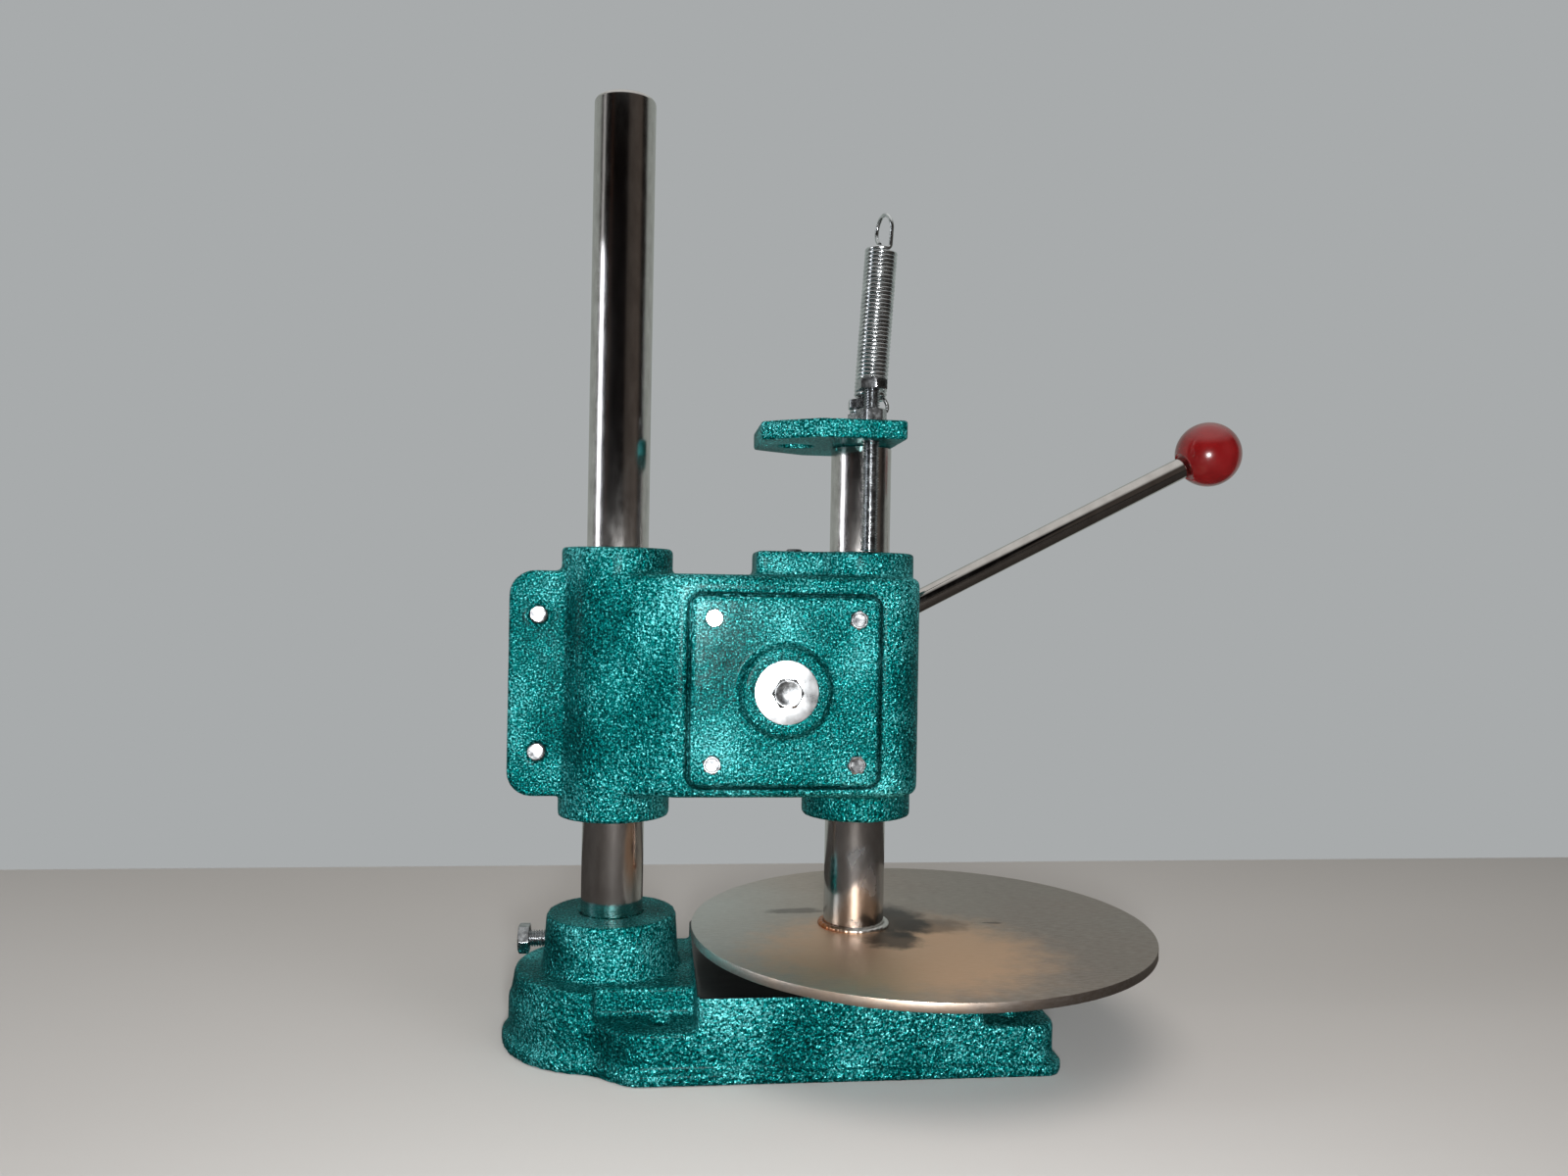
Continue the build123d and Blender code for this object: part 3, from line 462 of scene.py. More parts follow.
column_chrome = polished_round("hard_chrome_polished_round")
ram_chrome = polished_round("hard_chrome_scuffed", (
    (foot + Vector((6, -14, 26)) * mm, (1, 1, 0.45), 5),
    (foot + Vector((-2, -15, 36)) * mm, (1, 1, 0.6), 3),
    (foot + Vector((-3, -15, 4)) * mm, (0.8, 1, 1.6), 2),
))
print("made", column_chrome.name, "and", ram_chrome.name)

# %% [markdown]
# The weld round the ram's foot has a copper tint on its left, where it ran hottest, and is silver
# elsewhere. The ball is compression-moulded phenolic: a hard, deep red plastic with a clear skin, so it
# gets a coat.
# %% Weld metal and phenolic
def weld_metal(name):
    material, tree, shader, place = new_material(name)
    side = add(tree, "ShaderNodeSeparateXYZ", {"Vector": place}).outputs["X"]
    bead_side = 18 * mm
    across = add(tree, "ShaderNodeMapRange",
                 {"Value": side, "From Min": foot.x - bead_side, "From Max": foot.x + bead_side})
    tint = ramp(tree, across.outputs["Result"], (0.05, "#b06f46"), (0.3, "#b49a86"), (0.5, "#c9c6c2"))
    spatter = add(tree, "ShaderNodeTexNoise", {"Vector": place, "Scale": fine_scale(1.5), "Detail": 3.0})
    rippled = add(tree, "ShaderNodeBump",
                  {"Height": spatter.outputs["Fac"], "Strength": 0.5, "Distance": 0.2 * mm})
    tree.links.new(tint, shader.inputs["Base Color"])
    tree.links.new(rippled.outputs["Normal"], shader.inputs["Normal"])
    shader.inputs["Metallic"].default_value = 1.0
    shader.inputs["Roughness"].default_value = 0.28
    return material


def red_phenolic(name):
    material, tree, shader, place = new_material(name)
    swirl = add(tree, "ShaderNodeTexNoise",
                {"Vector": place, "Scale": fine_scale(14), "Detail": 3.0, "Distortion": 0.6})
    colour = ramp(tree, swirl.outputs["Fac"], (0.3, "#6b0c0e"), (0.7, "#7a1416"))
    peel = add(tree, "ShaderNodeTexNoise", {"Vector": place, "Scale": fine_scale(2.5), "Detail": 1.0})
    skin = add(tree, "ShaderNodeBump",
               {"Height": peel.outputs["Fac"], "Strength": 0.06, "Distance": 0.1 * mm})
    tree.links.new(colour, shader.inputs["Base Color"])
    tree.links.new(skin.outputs["Normal"], shader.inputs["Normal"])
    shader.inputs["Roughness"].default_value = 0.22
    shader.inputs["IOR"].default_value = 1.54
    shader.inputs["Coat Weight"].default_value = 0.4
    shader.inputs["Coat Roughness"].default_value = 0.05
    return material


bead_metal = weld_metal("weld_bead_copper_tinted")
ball_red = red_phenolic("red_phenolic_moulded")
print("made", bead_metal.name, "and", ball_red.name)


# %% [markdown]
# ## Cast pieces
# Sand castings have no sharp corners: every edge is rounded by the pattern, then by sand and thick
# paint. A bevel on hundreds of crossing edges would tear, so a copy of the casting is rebuilt as an even
# skin of small squares, relaxed until the edges round, and given the faint waviness of sand.
# %% Casting helpers
def copy_of(node, name):
    """A merged copy of a CAD node, as a new piece."""
    mesh = frame["nodes"][node].data.copy()
    piece = bpy.data.objects.new(name, mesh)
    bpy.context.scene.collection.objects.link(piece)
    mesh.materials.clear()
    pick(piece)
    bpy.ops.mesh.customdata_custom_splitnormals_clear()
    merge_doubles(piece)
    return piece


sand = bpy.data.textures.new("sand", "CLOUDS")
sand.noise_scale = 7 * mm
sand.noise_depth = 2


def cast_skin(piece, square, rounds, wave_mm=0.16):
    """Rebuilds a piece as an even skin with worn edges and the waviness of a sand mould."""
    apply_modifier(piece, "REMESH", mode="VOXEL", voxel_size=square * mm, use_smooth_shade=True)
    apply_modifier(piece, "SMOOTH", factor=0.5, iterations=rounds)
    apply_modifier(piece, "DISPLACE", texture=sand, strength=wave_mm * mm, mid_level=0.5,
                   texture_coords="LOCAL")


def cut_bar(piece, centre, radius, depth, facing=UP, sides=96):
    """Bores a round hole of this depth, centred on a point."""
    bpy.ops.object.select_all(action="DESELECT")
    bpy.ops.mesh.primitive_cylinder_add(vertices=sides, radius=radius, depth=depth)
    cutter = carry(bpy.context.object, centre, facing, RIGHT if abs(facing.x) < 0.5 else UP)
    apply_modifier(piece, "BOOLEAN", object=cutter, operation="DIFFERENCE", solver="EXACT")
    bpy.data.objects.remove(cutter)


# %% The base, the head, the cover and the bracket
column_axis = middle("column")
column_radius = (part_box("column")[1].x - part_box("column")[0].x) / 2
castings = {}
for node, body, square, rounds in (
    ("base_casting", "base", 1.25, 5),
    ("head_casting", "head", 1.2, 5),
    ("cover_plate", "head", 0.8, 4),
    ("stop_bracket", "ram", 0.8, 4),
):
    casting = copy_of(node, node.replace("_casting", "") + "_painted")
    cast_skin(casting, square, rounds)
    shade(casting, 60)
    castings[node] = casting
    finish_piece(casting, body, enamel, node)

# %% [markdown]
# The base stands flat, so the waviness of the sand is pressed out of its foot. The table's milled top is
# given its own finish: its faces are picked by height and by looking up.
# %% The foot and the milled table
mounts = {mount["name"]: mount["pos_m"] for mount in frame["record"]["mounts"]}
table_top = mounts["table_face"][2]
table_waviness = 0.5 * mm
base = castings["base_casting"]
for vertex in base.data.vertices:
    vertex.co.z = max(vertex.co.z, 0.0)
base.data.materials.append(table_iron)
milled = edit_faces(base, lambda centre, normal: (
    abs(centre.z - table_top) < table_waviness and normal.z > 0.85))
base.active_material_index = 1
bpy.ops.object.material_slot_assign()
close_edit()
print("milled faces:", milled)

# %% [markdown]
# ## Turned and plated bars
# The column is a plain bar, turned, rounded at its top and chromed. A mirror shows every flat, so the
# bar has many sides and its rim is rounded with a real bevel.
# %% Column
def round_bar(name, radius, length, rim, sides=128, segments=4):
    """An upright bar from zero to length with both rims rounded."""
    bpy.ops.object.select_all(action="DESELECT")
    bpy.ops.mesh.primitive_cylinder_add(vertices=sides, radius=radius, depth=length,
                                        location=(0, 0, length / 2))
    bar = bpy.context.object
    bar.name = name
    bpy.ops.object.transform_apply(location=True)
    edit_faces(bar, lambda centre, normal: abs(normal.z) > 0.9)
    bpy.ops.mesh.bevel(offset=rim, segments=segments, affect="EDGES", profile=0.5)
    close_edit()
    shade(bar, 40)
    return bar


low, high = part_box("column")
column_rim = 2.2 * mm
column_bar = round_bar("column_bar", column_radius, high.z - low.z, column_rim)
carry(column_bar, Vector((column_axis.x, column_axis.y, low.z)))
finish_piece(column_bar, "column", column_chrome, "column")

# %% [markdown]
# The lever is a thinner bar of the same kind. It starts inside its hub and ends inside the ball, so it is
# made upright and then laid along the line from one to the other.
# %% Lever rod
hub_axis = middle("pinion_shaft")
ball_centre = middle("ball_knob")
ball_radius = (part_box("ball_knob")[1].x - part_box("ball_knob")[0].x) / 2
hub_centre = Vector((hub_axis.x, ball_centre.y, hub_axis.z))
lever_way = (ball_centre - hub_centre).normalized()
lever_reach = (ball_centre - hub_centre).length
rod_radius = (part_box("lever_rod")[1].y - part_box("lever_rod")[0].y) / 2
rod_start = 10.5 * mm
rod_end = lever_reach - 6 * mm
rod = round_bar("lever_bar", rod_radius, rod_end - rod_start, 0.8 * mm, sides=72, segments=3)
carry(rod, hub_centre + lever_way * rod_start, lever_way, BACK)
finish_piece(rod, "lever", chrome, "lever_rod")

# %% [markdown]
# The ball is a sphere that is cut flat where the rod goes in. The flat is inset and pressed inwards a
# little, and a bevel rounds its lip.
# %% Ball
bpy.ops.object.select_all(action="DESELECT")
bpy.ops.mesh.primitive_uv_sphere_add(segments=96, ring_count=64, radius=ball_radius)
ball = bpy.context.object
ball.name = "lever_ball"
flat_radius = rod_radius + 2.2 * mm
flat_height = -sqrt(ball_radius**2 - flat_radius**2)
edit_faces(ball, every_face)
bpy.ops.mesh.bisect(plane_co=(0, 0, flat_height), plane_no=(0, 0, -1), use_fill=True, clear_outer=True)
close_edit()
edit_faces(ball, lambda centre, normal: normal.z < -0.999 and centre.z < flat_height + 0.1 * mm)
bpy.ops.mesh.inset(thickness=1.2 * mm)
bpy.ops.transform.translate(value=(0, 0, 0.8 * mm))
close_edit()
apply_modifier(ball, "BEVEL", width=0.5 * mm, segments=3, limit_method="ANGLE", angle_limit=radians(30))
shade(ball, 40)
carry(ball, ball_centre, lever_way, BACK)
finish_piece(ball, "lever", ball_red, "ball_knob")

# %% [markdown]
# ## Screw threads
# A thread is one small saw-tooth carried round and up an axis, which is what the Screw modifier does.
# The profile is five points of one pitch. The turns are merged into one skin, and both ends are cut off
# flat with a filled bisect, as a bar is faced on a lathe.
# %% Threaded bar
def threaded_bar(name, radius, length, pitch, steps=28):
    """An upright threaded bar from zero to length."""
    root = radius - 0.6 * pitch
    spare_turns = 4
    start = -1.5 * pitch
    profile = [(root, 0), (radius, 0.31), (radius, 0.44), (root, 0.75), (root, 1)]
    mesh = bpy.data.meshes.new(name)
    mesh.from_pydata([(r, 0, share * pitch) for r, share in profile],
                     [(i, i + 1) for i in range(len(profile) - 1)], [])
    bar = bpy.data.objects.new(name, mesh)
    bpy.context.scene.collection.objects.link(bar)
    turns = int(length / pitch) + spare_turns
    apply_modifier(bar, "SCREW", axis="Z", angle=2 * pi, screw_offset=pitch, iterations=turns,
                   steps=steps, render_steps=steps)
    pick(bar)
    bar.location = (0, 0, start)
    bpy.ops.object.transform_apply(location=True)
    merge_doubles(bar, 0.004 * mm)
    for height, way in ((0, -1), (length, 1)):
        edit_faces(bar, every_face)
        bpy.ops.mesh.bisect(plane_co=(0, 0, height), plane_no=(0, 0, way), use_fill=True,
                            clear_outer=True)
        close_edit()
    point_outwards(bar)
    shade(bar, 30)
    return bar


# %% [markdown]
# ## Hexagon heads and nuts
# A hexagon head is a six-sided prism whose corners were chamfered by a cone. Here the prism is
# intersected with a turned blank, which leaves the curved corner cuts of a real bolt. The top of a
# forged head is slightly dished.
# %% Hexagons
def turned_blank(flats, height, both_ends):
    """A round blank a little wider than the hexagon, with its rims coned at thirty degrees."""
    wide = flats / sqrt(3) + 0.02 * flats
    narrow = 0.475 * flats
    drop = (wide - narrow) * tan(radians(30))
    start = drop if both_ends else 0
    depth = height - drop - start
    bpy.ops.object.select_all(action="DESELECT")
    bpy.ops.mesh.primitive_cylinder_add(vertices=72, radius=wide, depth=depth,
                                        location=(0, 0, start + depth / 2))
    blank = bpy.context.object
    bpy.ops.object.transform_apply(location=True)
    for way in (1, -1) if both_ends else (1,):
        edit_faces(blank, lambda centre, normal: normal.z * way > 0.9)
        bpy.ops.mesh.extrude_region_move(TRANSFORM_OT_translate={"value": (0, 0, way * drop)})
        bpy.ops.transform.resize(value=(narrow / wide, narrow / wide, 1))
        close_edit()
    return blank


def hexagon(name, flats, height, both_ends=False, dish=0.0):
    """A chamfered hexagon that stands on zero."""
    blank = turned_blank(flats, height, both_ends)
    bpy.ops.object.select_all(action="DESELECT")
    bpy.ops.mesh.primitive_cylinder_add(vertices=6, radius=flats / sqrt(3), depth=height,
                                        location=(0, 0, height / 2), rotation=(0, 0, pi / 2))
    prism = bpy.context.object
    prism.name = name
    bpy.ops.object.transform_apply(location=True, rotation=True)
    apply_modifier(prism, "BEVEL", width=0.02 * flats, segments=2, limit_method="ANGLE")
    apply_modifier(prism, "BOOLEAN", object=blank, operation="INTERSECT", solver="EXACT")
    bpy.data.objects.remove(blank)
    if dish:
        edit_faces(prism, lambda centre, normal: normal.z > 0.99 and centre.z > 0.98 * height)
        bpy.ops.mesh.dissolve_faces()
        for share, drop in ((0.86, 0.0), (0.88, dish)):
            bpy.ops.mesh.extrude_region_move(TRANSFORM_OT_translate={"value": (0, 0, -drop)})
            bpy.ops.transform.resize(value=(share, share, 1), center_override=(0, 0, height - drop))
        close_edit()
    shade(prism, 28)
    return prism


def bolt(name, size, length):
    """A hexagon bolt whose head stands on zero, with its threaded shank of this length below."""
    piece = hexagon(name, size["flats"], size["head"], dish=0.25 * mm)
    rise_into_head = 0.4 * mm
    shank = threaded_bar("shank", size["radius"], length + rise_into_head, size["pitch"])
    carry(shank, Vector((0, 0, -length)))
    pick(shank, piece)
    bpy.ops.object.join()
    return piece


def nut(name, flats, height, radius):
    """A hexagon nut that stands on zero, with a countersunk hole."""
    piece = hexagon(name, flats, height, both_ends=True)
    cut_bar(piece, Vector((0, 0, height / 2)), radius, 2 * height, sides=48)
    sink = 0.8 * mm
    for top_end in (False, True):
        bpy.ops.object.select_all(action="DESELECT")
        bpy.ops.mesh.primitive_cone_add(vertices=48, radius1=radius + 0.9 * mm, radius2=radius - 1.1 * mm,
                                        depth=2 * mm, location=(0, 0, sink))
        cone = bpy.context.object
        if top_end:
            cone.rotation_euler = (pi, 0, 0)
            cone.location = (0, 0, height - sink)
        bpy.ops.object.transform_apply(location=True, rotation=True)
        apply_modifier(piece, "BOOLEAN", object=cone, operation="DIFFERENCE", solver="EXACT")
        bpy.data.objects.remove(cone)
    shade(piece, 28)
    return piece


def washer(name, outer, inner, height):
    """A stamped washer that stands on zero, with both rims slightly rounded."""
    disc = round_bar(name, outer, height, 0.25 * mm, 96, 3)
    cut_bar(disc, Vector((0, 0, height / 2)), inner, 3 * height, sides=64)
    shade(disc, 30)
    return disc


# %% [markdown]
# ## The fasteners in their places
# Two thread sizes hold the press together. Some CAD nodes hold several equal screws, so the middle of
# each is found by taking a copy apart, one new screw goes to each place, and the screws are joined.
# %% Sizes and places
M8 = {"radius": 4 * mm, "pitch": 1.25 * mm, "flats": 13 * mm, "head": 5.3 * mm}
M5 = {"radius": 2.5 * mm, "pitch": 0.8 * mm, "flats": 8 * mm, "head": 3.5 * mm}
M8_HOLE = 4.2 * mm
M8_TAPPED = 4.03 * mm
M8_WASHER = 8 * mm


def group_centres(node):
    """The middle of each separate solid in a CAD node, from left to right and from below."""
    piece = copy_of(node, "apart")
    pick(piece)
    bpy.ops.mesh.separate(type="LOOSE")
    centres = []
    for part in list(bpy.context.selected_objects):
        corners = [Vector(corner) for corner in part.bound_box]
        part_low = Vector([min(corner[i] for corner in corners) for i in range(3)])
        part_high = Vector([max(corner[i] for corner in corners) for i in range(3)])
        centres.append((part_low + part_high) / 2)
        bpy.data.objects.remove(part)
    return sorted(centres, key=lambda centre: (round(centre.x, 3), round(centre.z, 3)))


def join_as(name, pieces):
    pick(*pieces)
    bpy.ops.object.join()
    joined = bpy.context.object
    joined.name = name
    return joined


for node in ("clamp_bolts", "clamp_washers", "cover_screws"):
    print(node, "at, mm:", [tuple(round(v / mm, 1) for v in centre) for centre in group_centres(node)])

# %% [markdown]
# Each screw takes its seat from the CAD node that it stands for. The hexagons are turned as they were
# left by the spanner, so no two line up.
# %% Screws of the base and the head
low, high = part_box("column_set_screw")
set_screw = bolt("set_screw", M8, high.x - low.x - M8["head"])
set_axis = middle("column_set_screw")
carry(set_screw, Vector((low.x + M8["head"], set_axis.y, set_axis.z)), LEFT, BACK)
finish_piece(set_screw, "base", zinc, "column_set_screw")

low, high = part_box("clamp_bolts")
bolts = []
for index, centre in enumerate(group_centres("clamp_bolts")):
    made = bolt(f"bolt_{index}", M8, high.y - low.y - M8["head"])
    seat = Vector((centre.x, high.y - M8["head"], centre.z))
    bolts.append(carry(made, seat, BACK, LEFT, 12 + 20 * index))
finish_piece(join_as("clamp_bolt_pair", bolts), "head", zinc, "clamp_bolts")

low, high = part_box("clamp_washers")
washers = []
for index, centre in enumerate(group_centres("clamp_washers")):
    made = washer(f"washer_{index}", M8_WASHER, M8_HOLE, high.y - low.y)
    washers.append(carry(made, Vector((centre.x, low.y, centre.z)), BACK, LEFT))
finish_piece(join_as("clamp_washer_pair", washers), "head", zinc, "clamp_washers")

low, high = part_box("cover_screws")
screws = []
for centre, turn in zip(group_centres("cover_screws"), (40, 10, 5, 25)):
    made = bolt("screw", M5, high.y - low.y - M5["head"])
    screws.append(carry(made, Vector((centre.x, low.y + M5["head"], centre.z)), FRONT, RIGHT, turn))
finish_piece(join_as("cover_screw_set", screws), "head", zinc, "cover_screws")

# %% [markdown]
# A large washer closes the front end of the pinion shaft. Its zinc is painted pale as a highlight of the
# near lamp's glare, and the bolt that holds it is duller, so the two have finishes of their own.
# %% Washer and bolt on the pinion shaft
low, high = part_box("shaft_washer")
washer_front = low.y
shaft_ring = washer("shaft_end_washer", (high.x - low.x) / 2, M8_HOLE, high.y - low.y)
carry(shaft_ring, Vector((hub_axis.x, high.y, hub_axis.z)), FRONT)
finish_piece(shaft_ring, "lever", zinc_painted_highlight, "shaft_washer")

low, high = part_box("shaft_bolt")
end_bolt = bolt("shaft_end_bolt", M8, high.y - low.y - M8["head"])
carry(end_bolt, Vector((hub_axis.x, washer_front, hub_axis.z)), FRONT)
finish_piece(end_bolt, "lever", zinc, "shaft_bolt")

# %% [markdown]
# The stop screw stands in front of the ram and is held by a lock nut. A stud in the ram's top holds the
# bracket with a washer and a nut, and a second nut on it holds the foot of the spring.
# %% Stop screw, stud and nuts
low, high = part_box("stop_screw")
stop_axis = middle("stop_screw")
stop_bolt = bolt("depth_stop_screw", M8, high.z - low.z - M8["head"])
carry(stop_bolt, Vector((stop_axis.x, stop_axis.y, high.z - M8["head"])), UP, RIGHT, 36)
finish_piece(stop_bolt, "stop_screw", zinc, "stop_screw")

low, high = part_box("bracket_stud")
stud = threaded_bar("bracket_stud_thread", M8["radius"], high.z - low.z, M8["pitch"])
carry(stud, Vector((ram_axis.x, ram_axis.y, low.z)))
finish_piece(stud, "ram", zinc, "bracket_stud")

for node, name, turn in (("stop_lock_nut", "stop_jam_nut", 4), ("bracket_nut", "bracket_clamp_nut", 8),
                         ("spring_nut", "spring_jam_nut", 28)):
    low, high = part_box(node)
    made = nut(name, M8["flats"], high.z - low.z, M8_TAPPED)
    centre = middle(node)
    carry(made, Vector((centre.x, centre.y, low.z)), UP, RIGHT, turn)
    finish_piece(made, "ram", zinc, node)

low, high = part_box("stud_washer")
stud_ring = washer("stud_flat_washer", M8_WASHER, M8_HOLE, high.z - low.z)
carry(stud_ring, Vector((ram_axis.x, ram_axis.y, low.z)))
finish_piece(stud_ring, "ram", zinc, "stud_washer")

# %% [markdown]
# ## The return spring
# The spring is one length of wire: an eye round the stud, a rise, close-wound turns, and a loop bent up
# at the top. A curve is the natural tool: its points are worked out turn by turn, the curve is given
# the wire's thickness, and then made a mesh.
# %% Spring wire path
nut_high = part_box("bracket_nut")[1].z
wire = 2.0 * mm
coil_radius = 7.25 * mm
coil_rings = 38
loop_neck = 2.5 * mm
spring_lean = radians(3.4)
loop_turn = radians(-75.5)
coil_shift = 4 * mm
coil_clearance = 0.3 * mm
coil_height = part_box("bracket_stud")[1].z + coil_clearance + wire / 2
coil_foot = Vector((ram_axis.x + coil_shift, 0, coil_height))
spring_up = Vector((sin(spring_lean), 0, cos(spring_lean)))
loop_side = Vector((cos(loop_turn), sin(loop_turn), 0))
coil_out = (loop_side - loop_side.dot(spring_up) * spring_up).normalized()
coil_side = spring_up.cross(coil_out)


def eye_points():
    """The eye round the stud, and the wire's way out of it and up to the first turn."""
    eye_height = nut_high + wire / 2
    eye_radius = 5.3 * mm
    points = []
    for step in range(24):
        angle = radians(70 + 290 * step / 24)
        points.append(Vector((ram_axis.x + eye_radius * cos(angle), eye_radius * sin(angle), eye_height)))
    reach = coil_foot.x + coil_radius * cos(spring_lean)
    bulge = 1.6 * mm
    way_up = [(eye_radius + ram_axis.x + 0.5 * mm, 0.0), (reach - 0.8 * mm, 0.2),
              (reach + 0.8 * bulge, 0.9), (reach + bulge, 2.2), (reach + 0.9 * bulge, 4.0),
              (reach + 0.3 * bulge, 6.0)]
    for x, rise in way_up:
        points.append(Vector((x, 0, eye_height + rise * mm)))
    return points


def coil_points(steps=28):
    """Close-wound turns from the +X side of the foot to the side where the loop stands."""
    start = -loop_turn % (2 * pi)
    turns = coil_rings - 1 - start / (2 * pi)
    height = (coil_rings - 1) * wire
    count = int(turns * steps)
    points = []
    for step in range(count + 1):
        share = step / count
        angle = start + (2 * pi * (coil_rings - 1) - start) * share
        out = coil_radius * (cos(angle) * coil_out + sin(angle) * coil_side)
        points.append(coil_foot + spring_up * (height * share) + out)
    return points


def loop_points():
    """The last turn bent upwards, the neck, and the loop over the top."""
    top = coil_foot + spring_up * ((coil_rings - 1) * wire)
    rise = coil_radius + wire / 2 + loop_neck
    bend = 1.6 * mm
    points = []
    for step in range(1, 7):
        angle = radians(90 * step / 6)
        ahead = coil_side * (bend * sin(angle))
        points.append(top + coil_out * coil_radius + ahead + spring_up * (bend * (1 - cos(angle))))
    middle_of_loop = top + spring_up * rise
    for step in range(33):
        angle = radians(-4 + 254 * step / 32)
        settle = max(0.0, 1 - step / 10)
        out = coil_radius * (cos(angle) * coil_out + sin(angle) * spring_up)
        points.append(middle_of_loop + out + coil_side * (bend * settle))
    return points


# %% Spring
path = eye_points() + coil_points() + loop_points()
curve = bpy.data.curves.new("spring_wire", "CURVE")
curve.dimensions = "3D"
line = curve.splines.new("POLY")
line.points.add(len(path) - 1)
for point, place in zip(line.points, path):
    point.co = (*place, 1)
curve.bevel_depth = wire / 2
curve.bevel_resolution = 4
curve.use_fill_caps = True
spring = bpy.data.objects.new("return_spring_wire", curve)
bpy.context.scene.collection.objects.link(spring)
pick(spring)
bpy.ops.object.convert(target="MESH")
spring = bpy.context.object
shade(spring, 60)
spring.data.materials.clear()
finish_piece(spring, "ram", spring_wire, "return_spring")

# %% [markdown]
# ## The plate and its weld
# The plate was cut round, so its rim is square with a fine broken edge. The bead is a ring that is
# pinched into overlapping scales, the way a weld pool freezes as the torch steps round.
# %% Plate
low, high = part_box("press_plate")
plate_centre = middle("press_plate")
broken_edge = 0.35 * mm
plate = round_bar("round_plate", (high.x - low.x) / 2, high.z - low.z, broken_edge, 256, 2)
carry(plate, Vector((plate_centre.x, plate_centre.y, low.z)))
finish_piece(plate, "ram", plate_steel, "press_plate")

# %% Weld bead
bead_low, bead_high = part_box("weld_bead")
bead_reach = (bead_high.x - bead_low.x) / 2
bead_thickness = 1.55 * mm
bpy.ops.object.select_all(action="DESELECT")
bpy.ops.mesh.primitive_torus_add(major_segments=240, minor_segments=20,
                                 major_radius=bead_reach - bead_thickness - 0.1 * mm,
                                 minor_radius=bead_thickness)
bead = bpy.context.object
bead.name = "weld_ring"
scales = 34
for vertex in bead.data.vertices:
    angle = atan2(vertex.co.y, vertex.co.x)
    ripple = abs(sin(scales * angle / 2 + 1.5 * sin(3 * angle)))
    swell = 1 + 0.07 * sin(2 * angle + 1) + 0.05 * sin(5 * angle)
    vertex.co.z *= swell * (0.86 + 0.12 * ripple)
    away = hypot(vertex.co.x, vertex.co.y)
    pull = 1 - 0.012 * (1 - ripple)
    vertex.co.x *= pull
    vertex.co.y *= pull
bead.data.update()
carry(bead, Vector((ram_axis.x, ram_axis.y, plate_top + 0.55 * mm)))
shade(bead, 50)
finish_piece(bead, "ram", bead_metal, "weld_bead")

# %% [markdown]
# ## Parts that keep their CAD shape
# The ram with its rack, the hub on the lever's end, the shaft, the gear, the bushes, the key, the pin and
# the plug are turned and milled pieces whose CAD shape is already right. They get metal finishes on
# their own slots.
# %% CAD nodes and their finishes
for node, finish_material in (
    ("ram", ram_chrome), ("lever_hub", turned_steel), ("hub_cross_pin", turned_steel),
    ("pinion_shaft", turned_steel), ("pinion_gear", turned_steel), ("pinion_key", turned_steel),
    ("guide_hole_plug", turned_steel), ("front_bush", turned_bronze), ("rear_bush", turned_bronze),
):
    for material_slot in frame["nodes"][node].material_slots:
        material_slot.material = finish_material
    print(node, "is", finish_material.name)

# %% [markdown]
# ## The studio
# The press stands on a pale cloth in front of a plain grey wall. A polished bar is a mirror, so what
# stands round the press matters as much as the lamps. The floor is pale to the eye and dark in the
# mirrors, as it would be with the room's own dark floor beyond the cloth.
# %% Floor
floor_material, tree, shader, place = new_material("pale_floor_cloth")
in_mirror = add(tree, "ShaderNodeLightPath").outputs["Is Glossy Ray"]
cloth = blend_colours(tree, in_mirror, linear("#c2c1bf"), linear("#403c39"))
fibre = add(tree, "ShaderNodeTexNoise", {"Vector": place, "Scale": fine_scale(3), "Detail": 2.0})
felt = add(tree, "ShaderNodeBump",
           {"Height": fibre.outputs["Fac"], "Strength": 0.1, "Distance": 0.2 * mm})
tree.links.new(cloth, shader.inputs["Base Color"])
tree.links.new(felt.outputs["Normal"], shader.inputs["Normal"])
shader.inputs["Roughness"].default_value = 0.9
floor_size = 8
floor_back = 0.35
just_under = -0.0002
bpy.ops.object.select_all(action="DESELECT")
bpy.ops.mesh.primitive_plane_add(size=floor_size,
                                 location=(0, floor_back - floor_size / 2, just_under))
floor = bpy.context.object
floor.name = "studio_floor"
bpy.ops.object.transform_apply(location=True)
floor.data.materials.append(floor_material)
print("floor of", floor_size, "m with its back edge at", floor_back, "m")

# %% [markdown]
# The world holds the rest of the room. Going round from the left it is a pale wall behind, a narrow lit
# strip, darkness with one thin warm line, a dim brown wall on the right, and the pale wall again. A bright
# ceiling shows in the mirrors alone, and the eye sees nothing of all this but one plain grey.
# %% World
world = bpy.data.worlds.new("studio_room")
bpy.context.scene.world = world
world.use_nodes = True
tree = world.node_tree
tree.nodes.clear()
way = add(tree, "ShaderNodeTexCoord").outputs["Generated"]
parts = add(tree, "ShaderNodeSeparateXYZ", {"Vector": way})
front = add(tree, "ShaderNodeMath", {0: parts.outputs["Y"], 1: -1.0}, operation="MULTIPLY")
around = add(tree, "ShaderNodeMath",
             {0: parts.outputs["X"], 1: front.outputs["Value"]}, operation="ARCTAN2")
turn_share = add(tree, "ShaderNodeMapRange",
                 {"Value": around.outputs["Value"], "From Min": -pi, "From Max": pi})


def at(degrees):
    """A compass direction, from the viewer's side, as a share of the full turn."""
    return 0.5 + degrees / 360


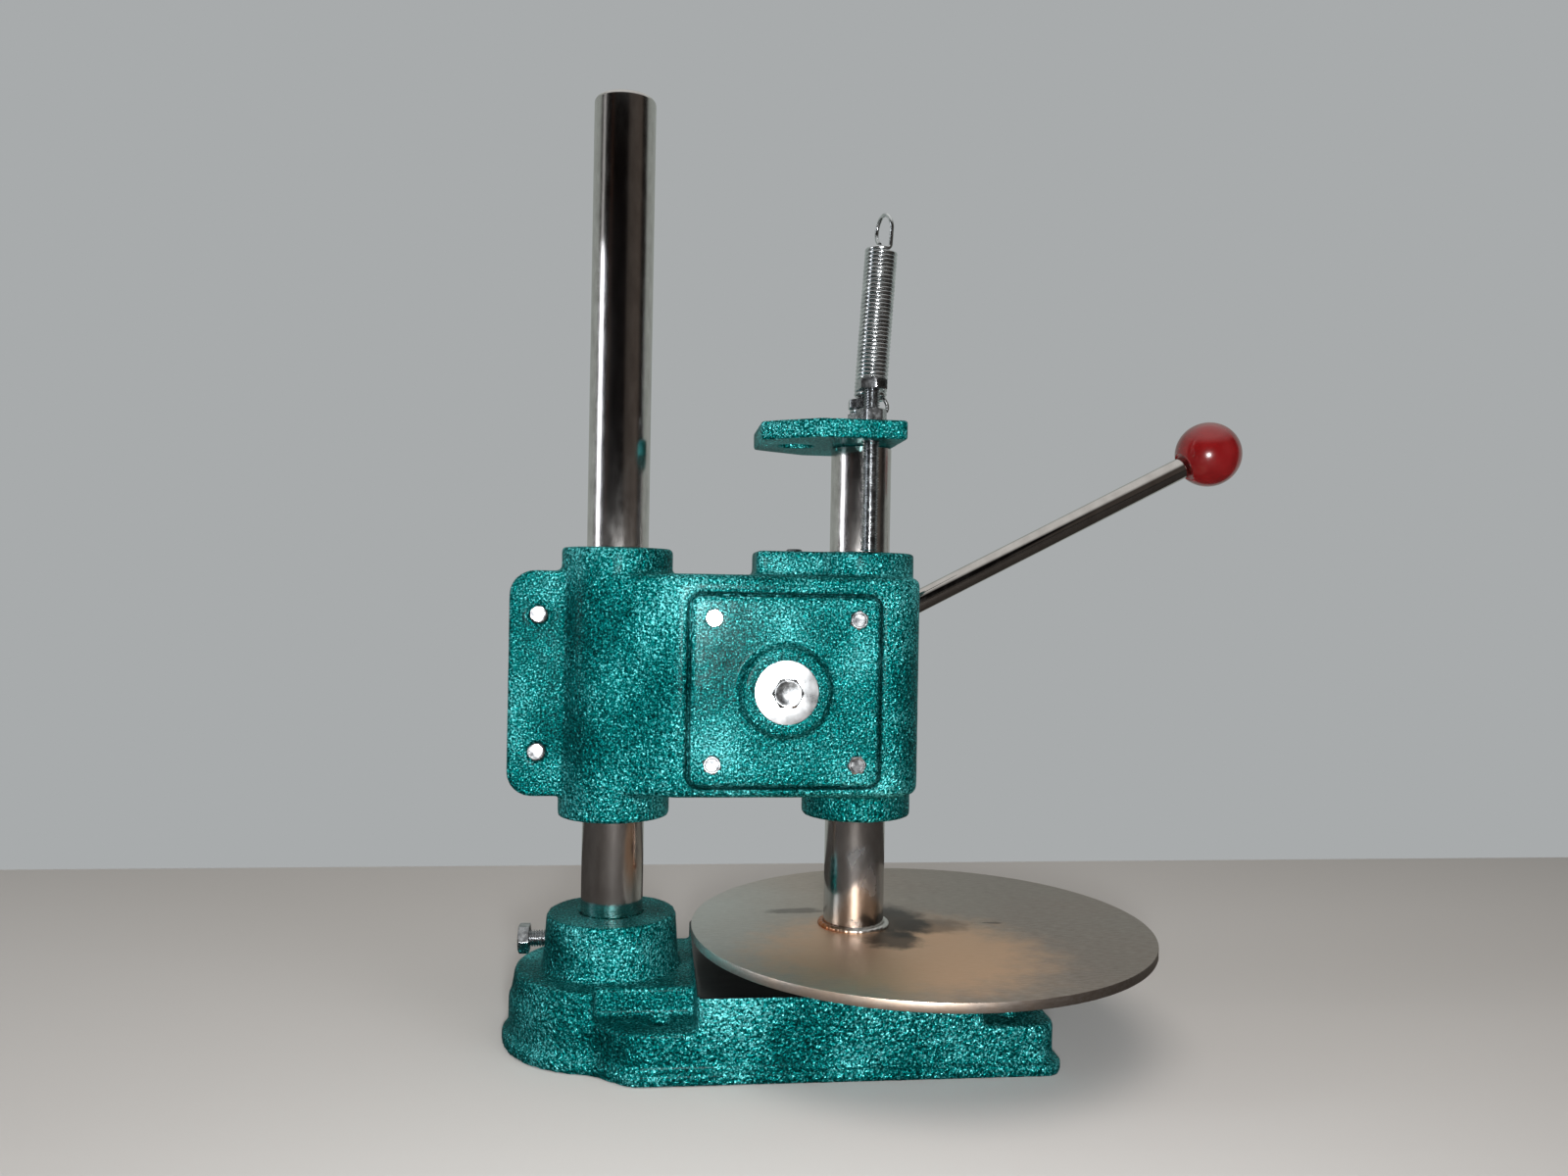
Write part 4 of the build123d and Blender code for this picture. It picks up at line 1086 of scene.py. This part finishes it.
pale_wall, dark = "#a2a8a4", "#0c0a09"
room = ramp(tree, turn_share.outputs["Result"],
            (0.0, pale_wall), (at(-104), pale_wall), (at(-98), "#2a2422"), (at(-88), "#100d0c"),
            (at(-86), "#ffffff"), (at(-82), "#ffffff"), (at(-79), dark), (at(-48), dark),
            (at(-47), "#6a4632"), (at(-45), dark), (at(14), "#0c0a0a"),
            (at(20), "#45403c"), (at(68), "#544c46"), (at(76), "#151210"), (at(94), "#1c1817"),
            (at(102), pale_wall), (1.0, pale_wall))
height_share = add(tree, "ShaderNodeMapRange",
                   {"Value": parts.outputs["Z"], "From Min": 0.55, "From Max": 0.85})
in_mirror = add(tree, "ShaderNodeLightPath").outputs["Is Glossy Ray"]
ceiling = blend_colours(tree, in_mirror, linear("#6f6a66"), linear("#e2e2e0"))
whole_room = blend_colours(tree, height_share.outputs["Result"], room, ceiling)
to_the_eye = add(tree, "ShaderNodeLightPath").outputs["Is Camera Ray"]
seen = blend_colours(tree, to_the_eye, whole_room, linear("#a8abac"))
background = add(tree, "ShaderNodeBackground", {"Color": seen, "Strength": 1.0})
add(tree, "ShaderNodeOutputWorld", {"Surface": background.outputs["Background"]})
print("made", world.name)

# %% [markdown]
# The key is a small lamp close to the eye, which makes the enamel sparkle and throws a near shadow. Large
# lamps above and to the right only fill, and are kept out of the mirrors. The tall window on the left
# draws the long white streak down the column.
# %% Lamps
def soft_lamp(name, place, target, size, power, tint="#ffffff", mirrored=True):
    """A soft lamp of this width and height that points at a target. Mirrors may leave it out."""
    bpy.ops.object.light_add(type="AREA", location=place)
    lamp = bpy.context.object
    lamp.name = name
    lamp.data.shape = "RECTANGLE"
    lamp.data.size, lamp.data.size_y = size
    lamp.data.energy = power
    lamp.data.color = linear(tint)[:3]
    lamp.visible_glossy = mirrored
    lamp.rotation_euler = (Vector(target) - Vector(place)).to_track_quat("-Z", "Y").to_euler()
    print(name, "of", power, "W")


soft_lamp("key_by_the_eye", (-0.07, -0.62, 0.195), (0, 0, 0.18), (0.06, 0.06), 4.6)
soft_lamp("overhead", (0.0, -0.3, 1.3), (0, 0, 0.1), (1.0, 1.0), 7.0, "#fff4ec", mirrored=False)
soft_lamp("left_window", (-1.2, -0.2, 0.45), (0, 0, 0.3), (0.22, 0.7), 3.0, "#f4f8ff")
soft_lamp("right_fill", (1.0, -0.9, 0.5), (0, 0, 0.15), (0.6, 0.6), 3.0, "#f0f4ff", mirrored=False)

# %% [markdown]
# The plain view keeps strong colours strong.
# %% Exposure
bpy.context.scene.view_settings.view_transform = "Standard"
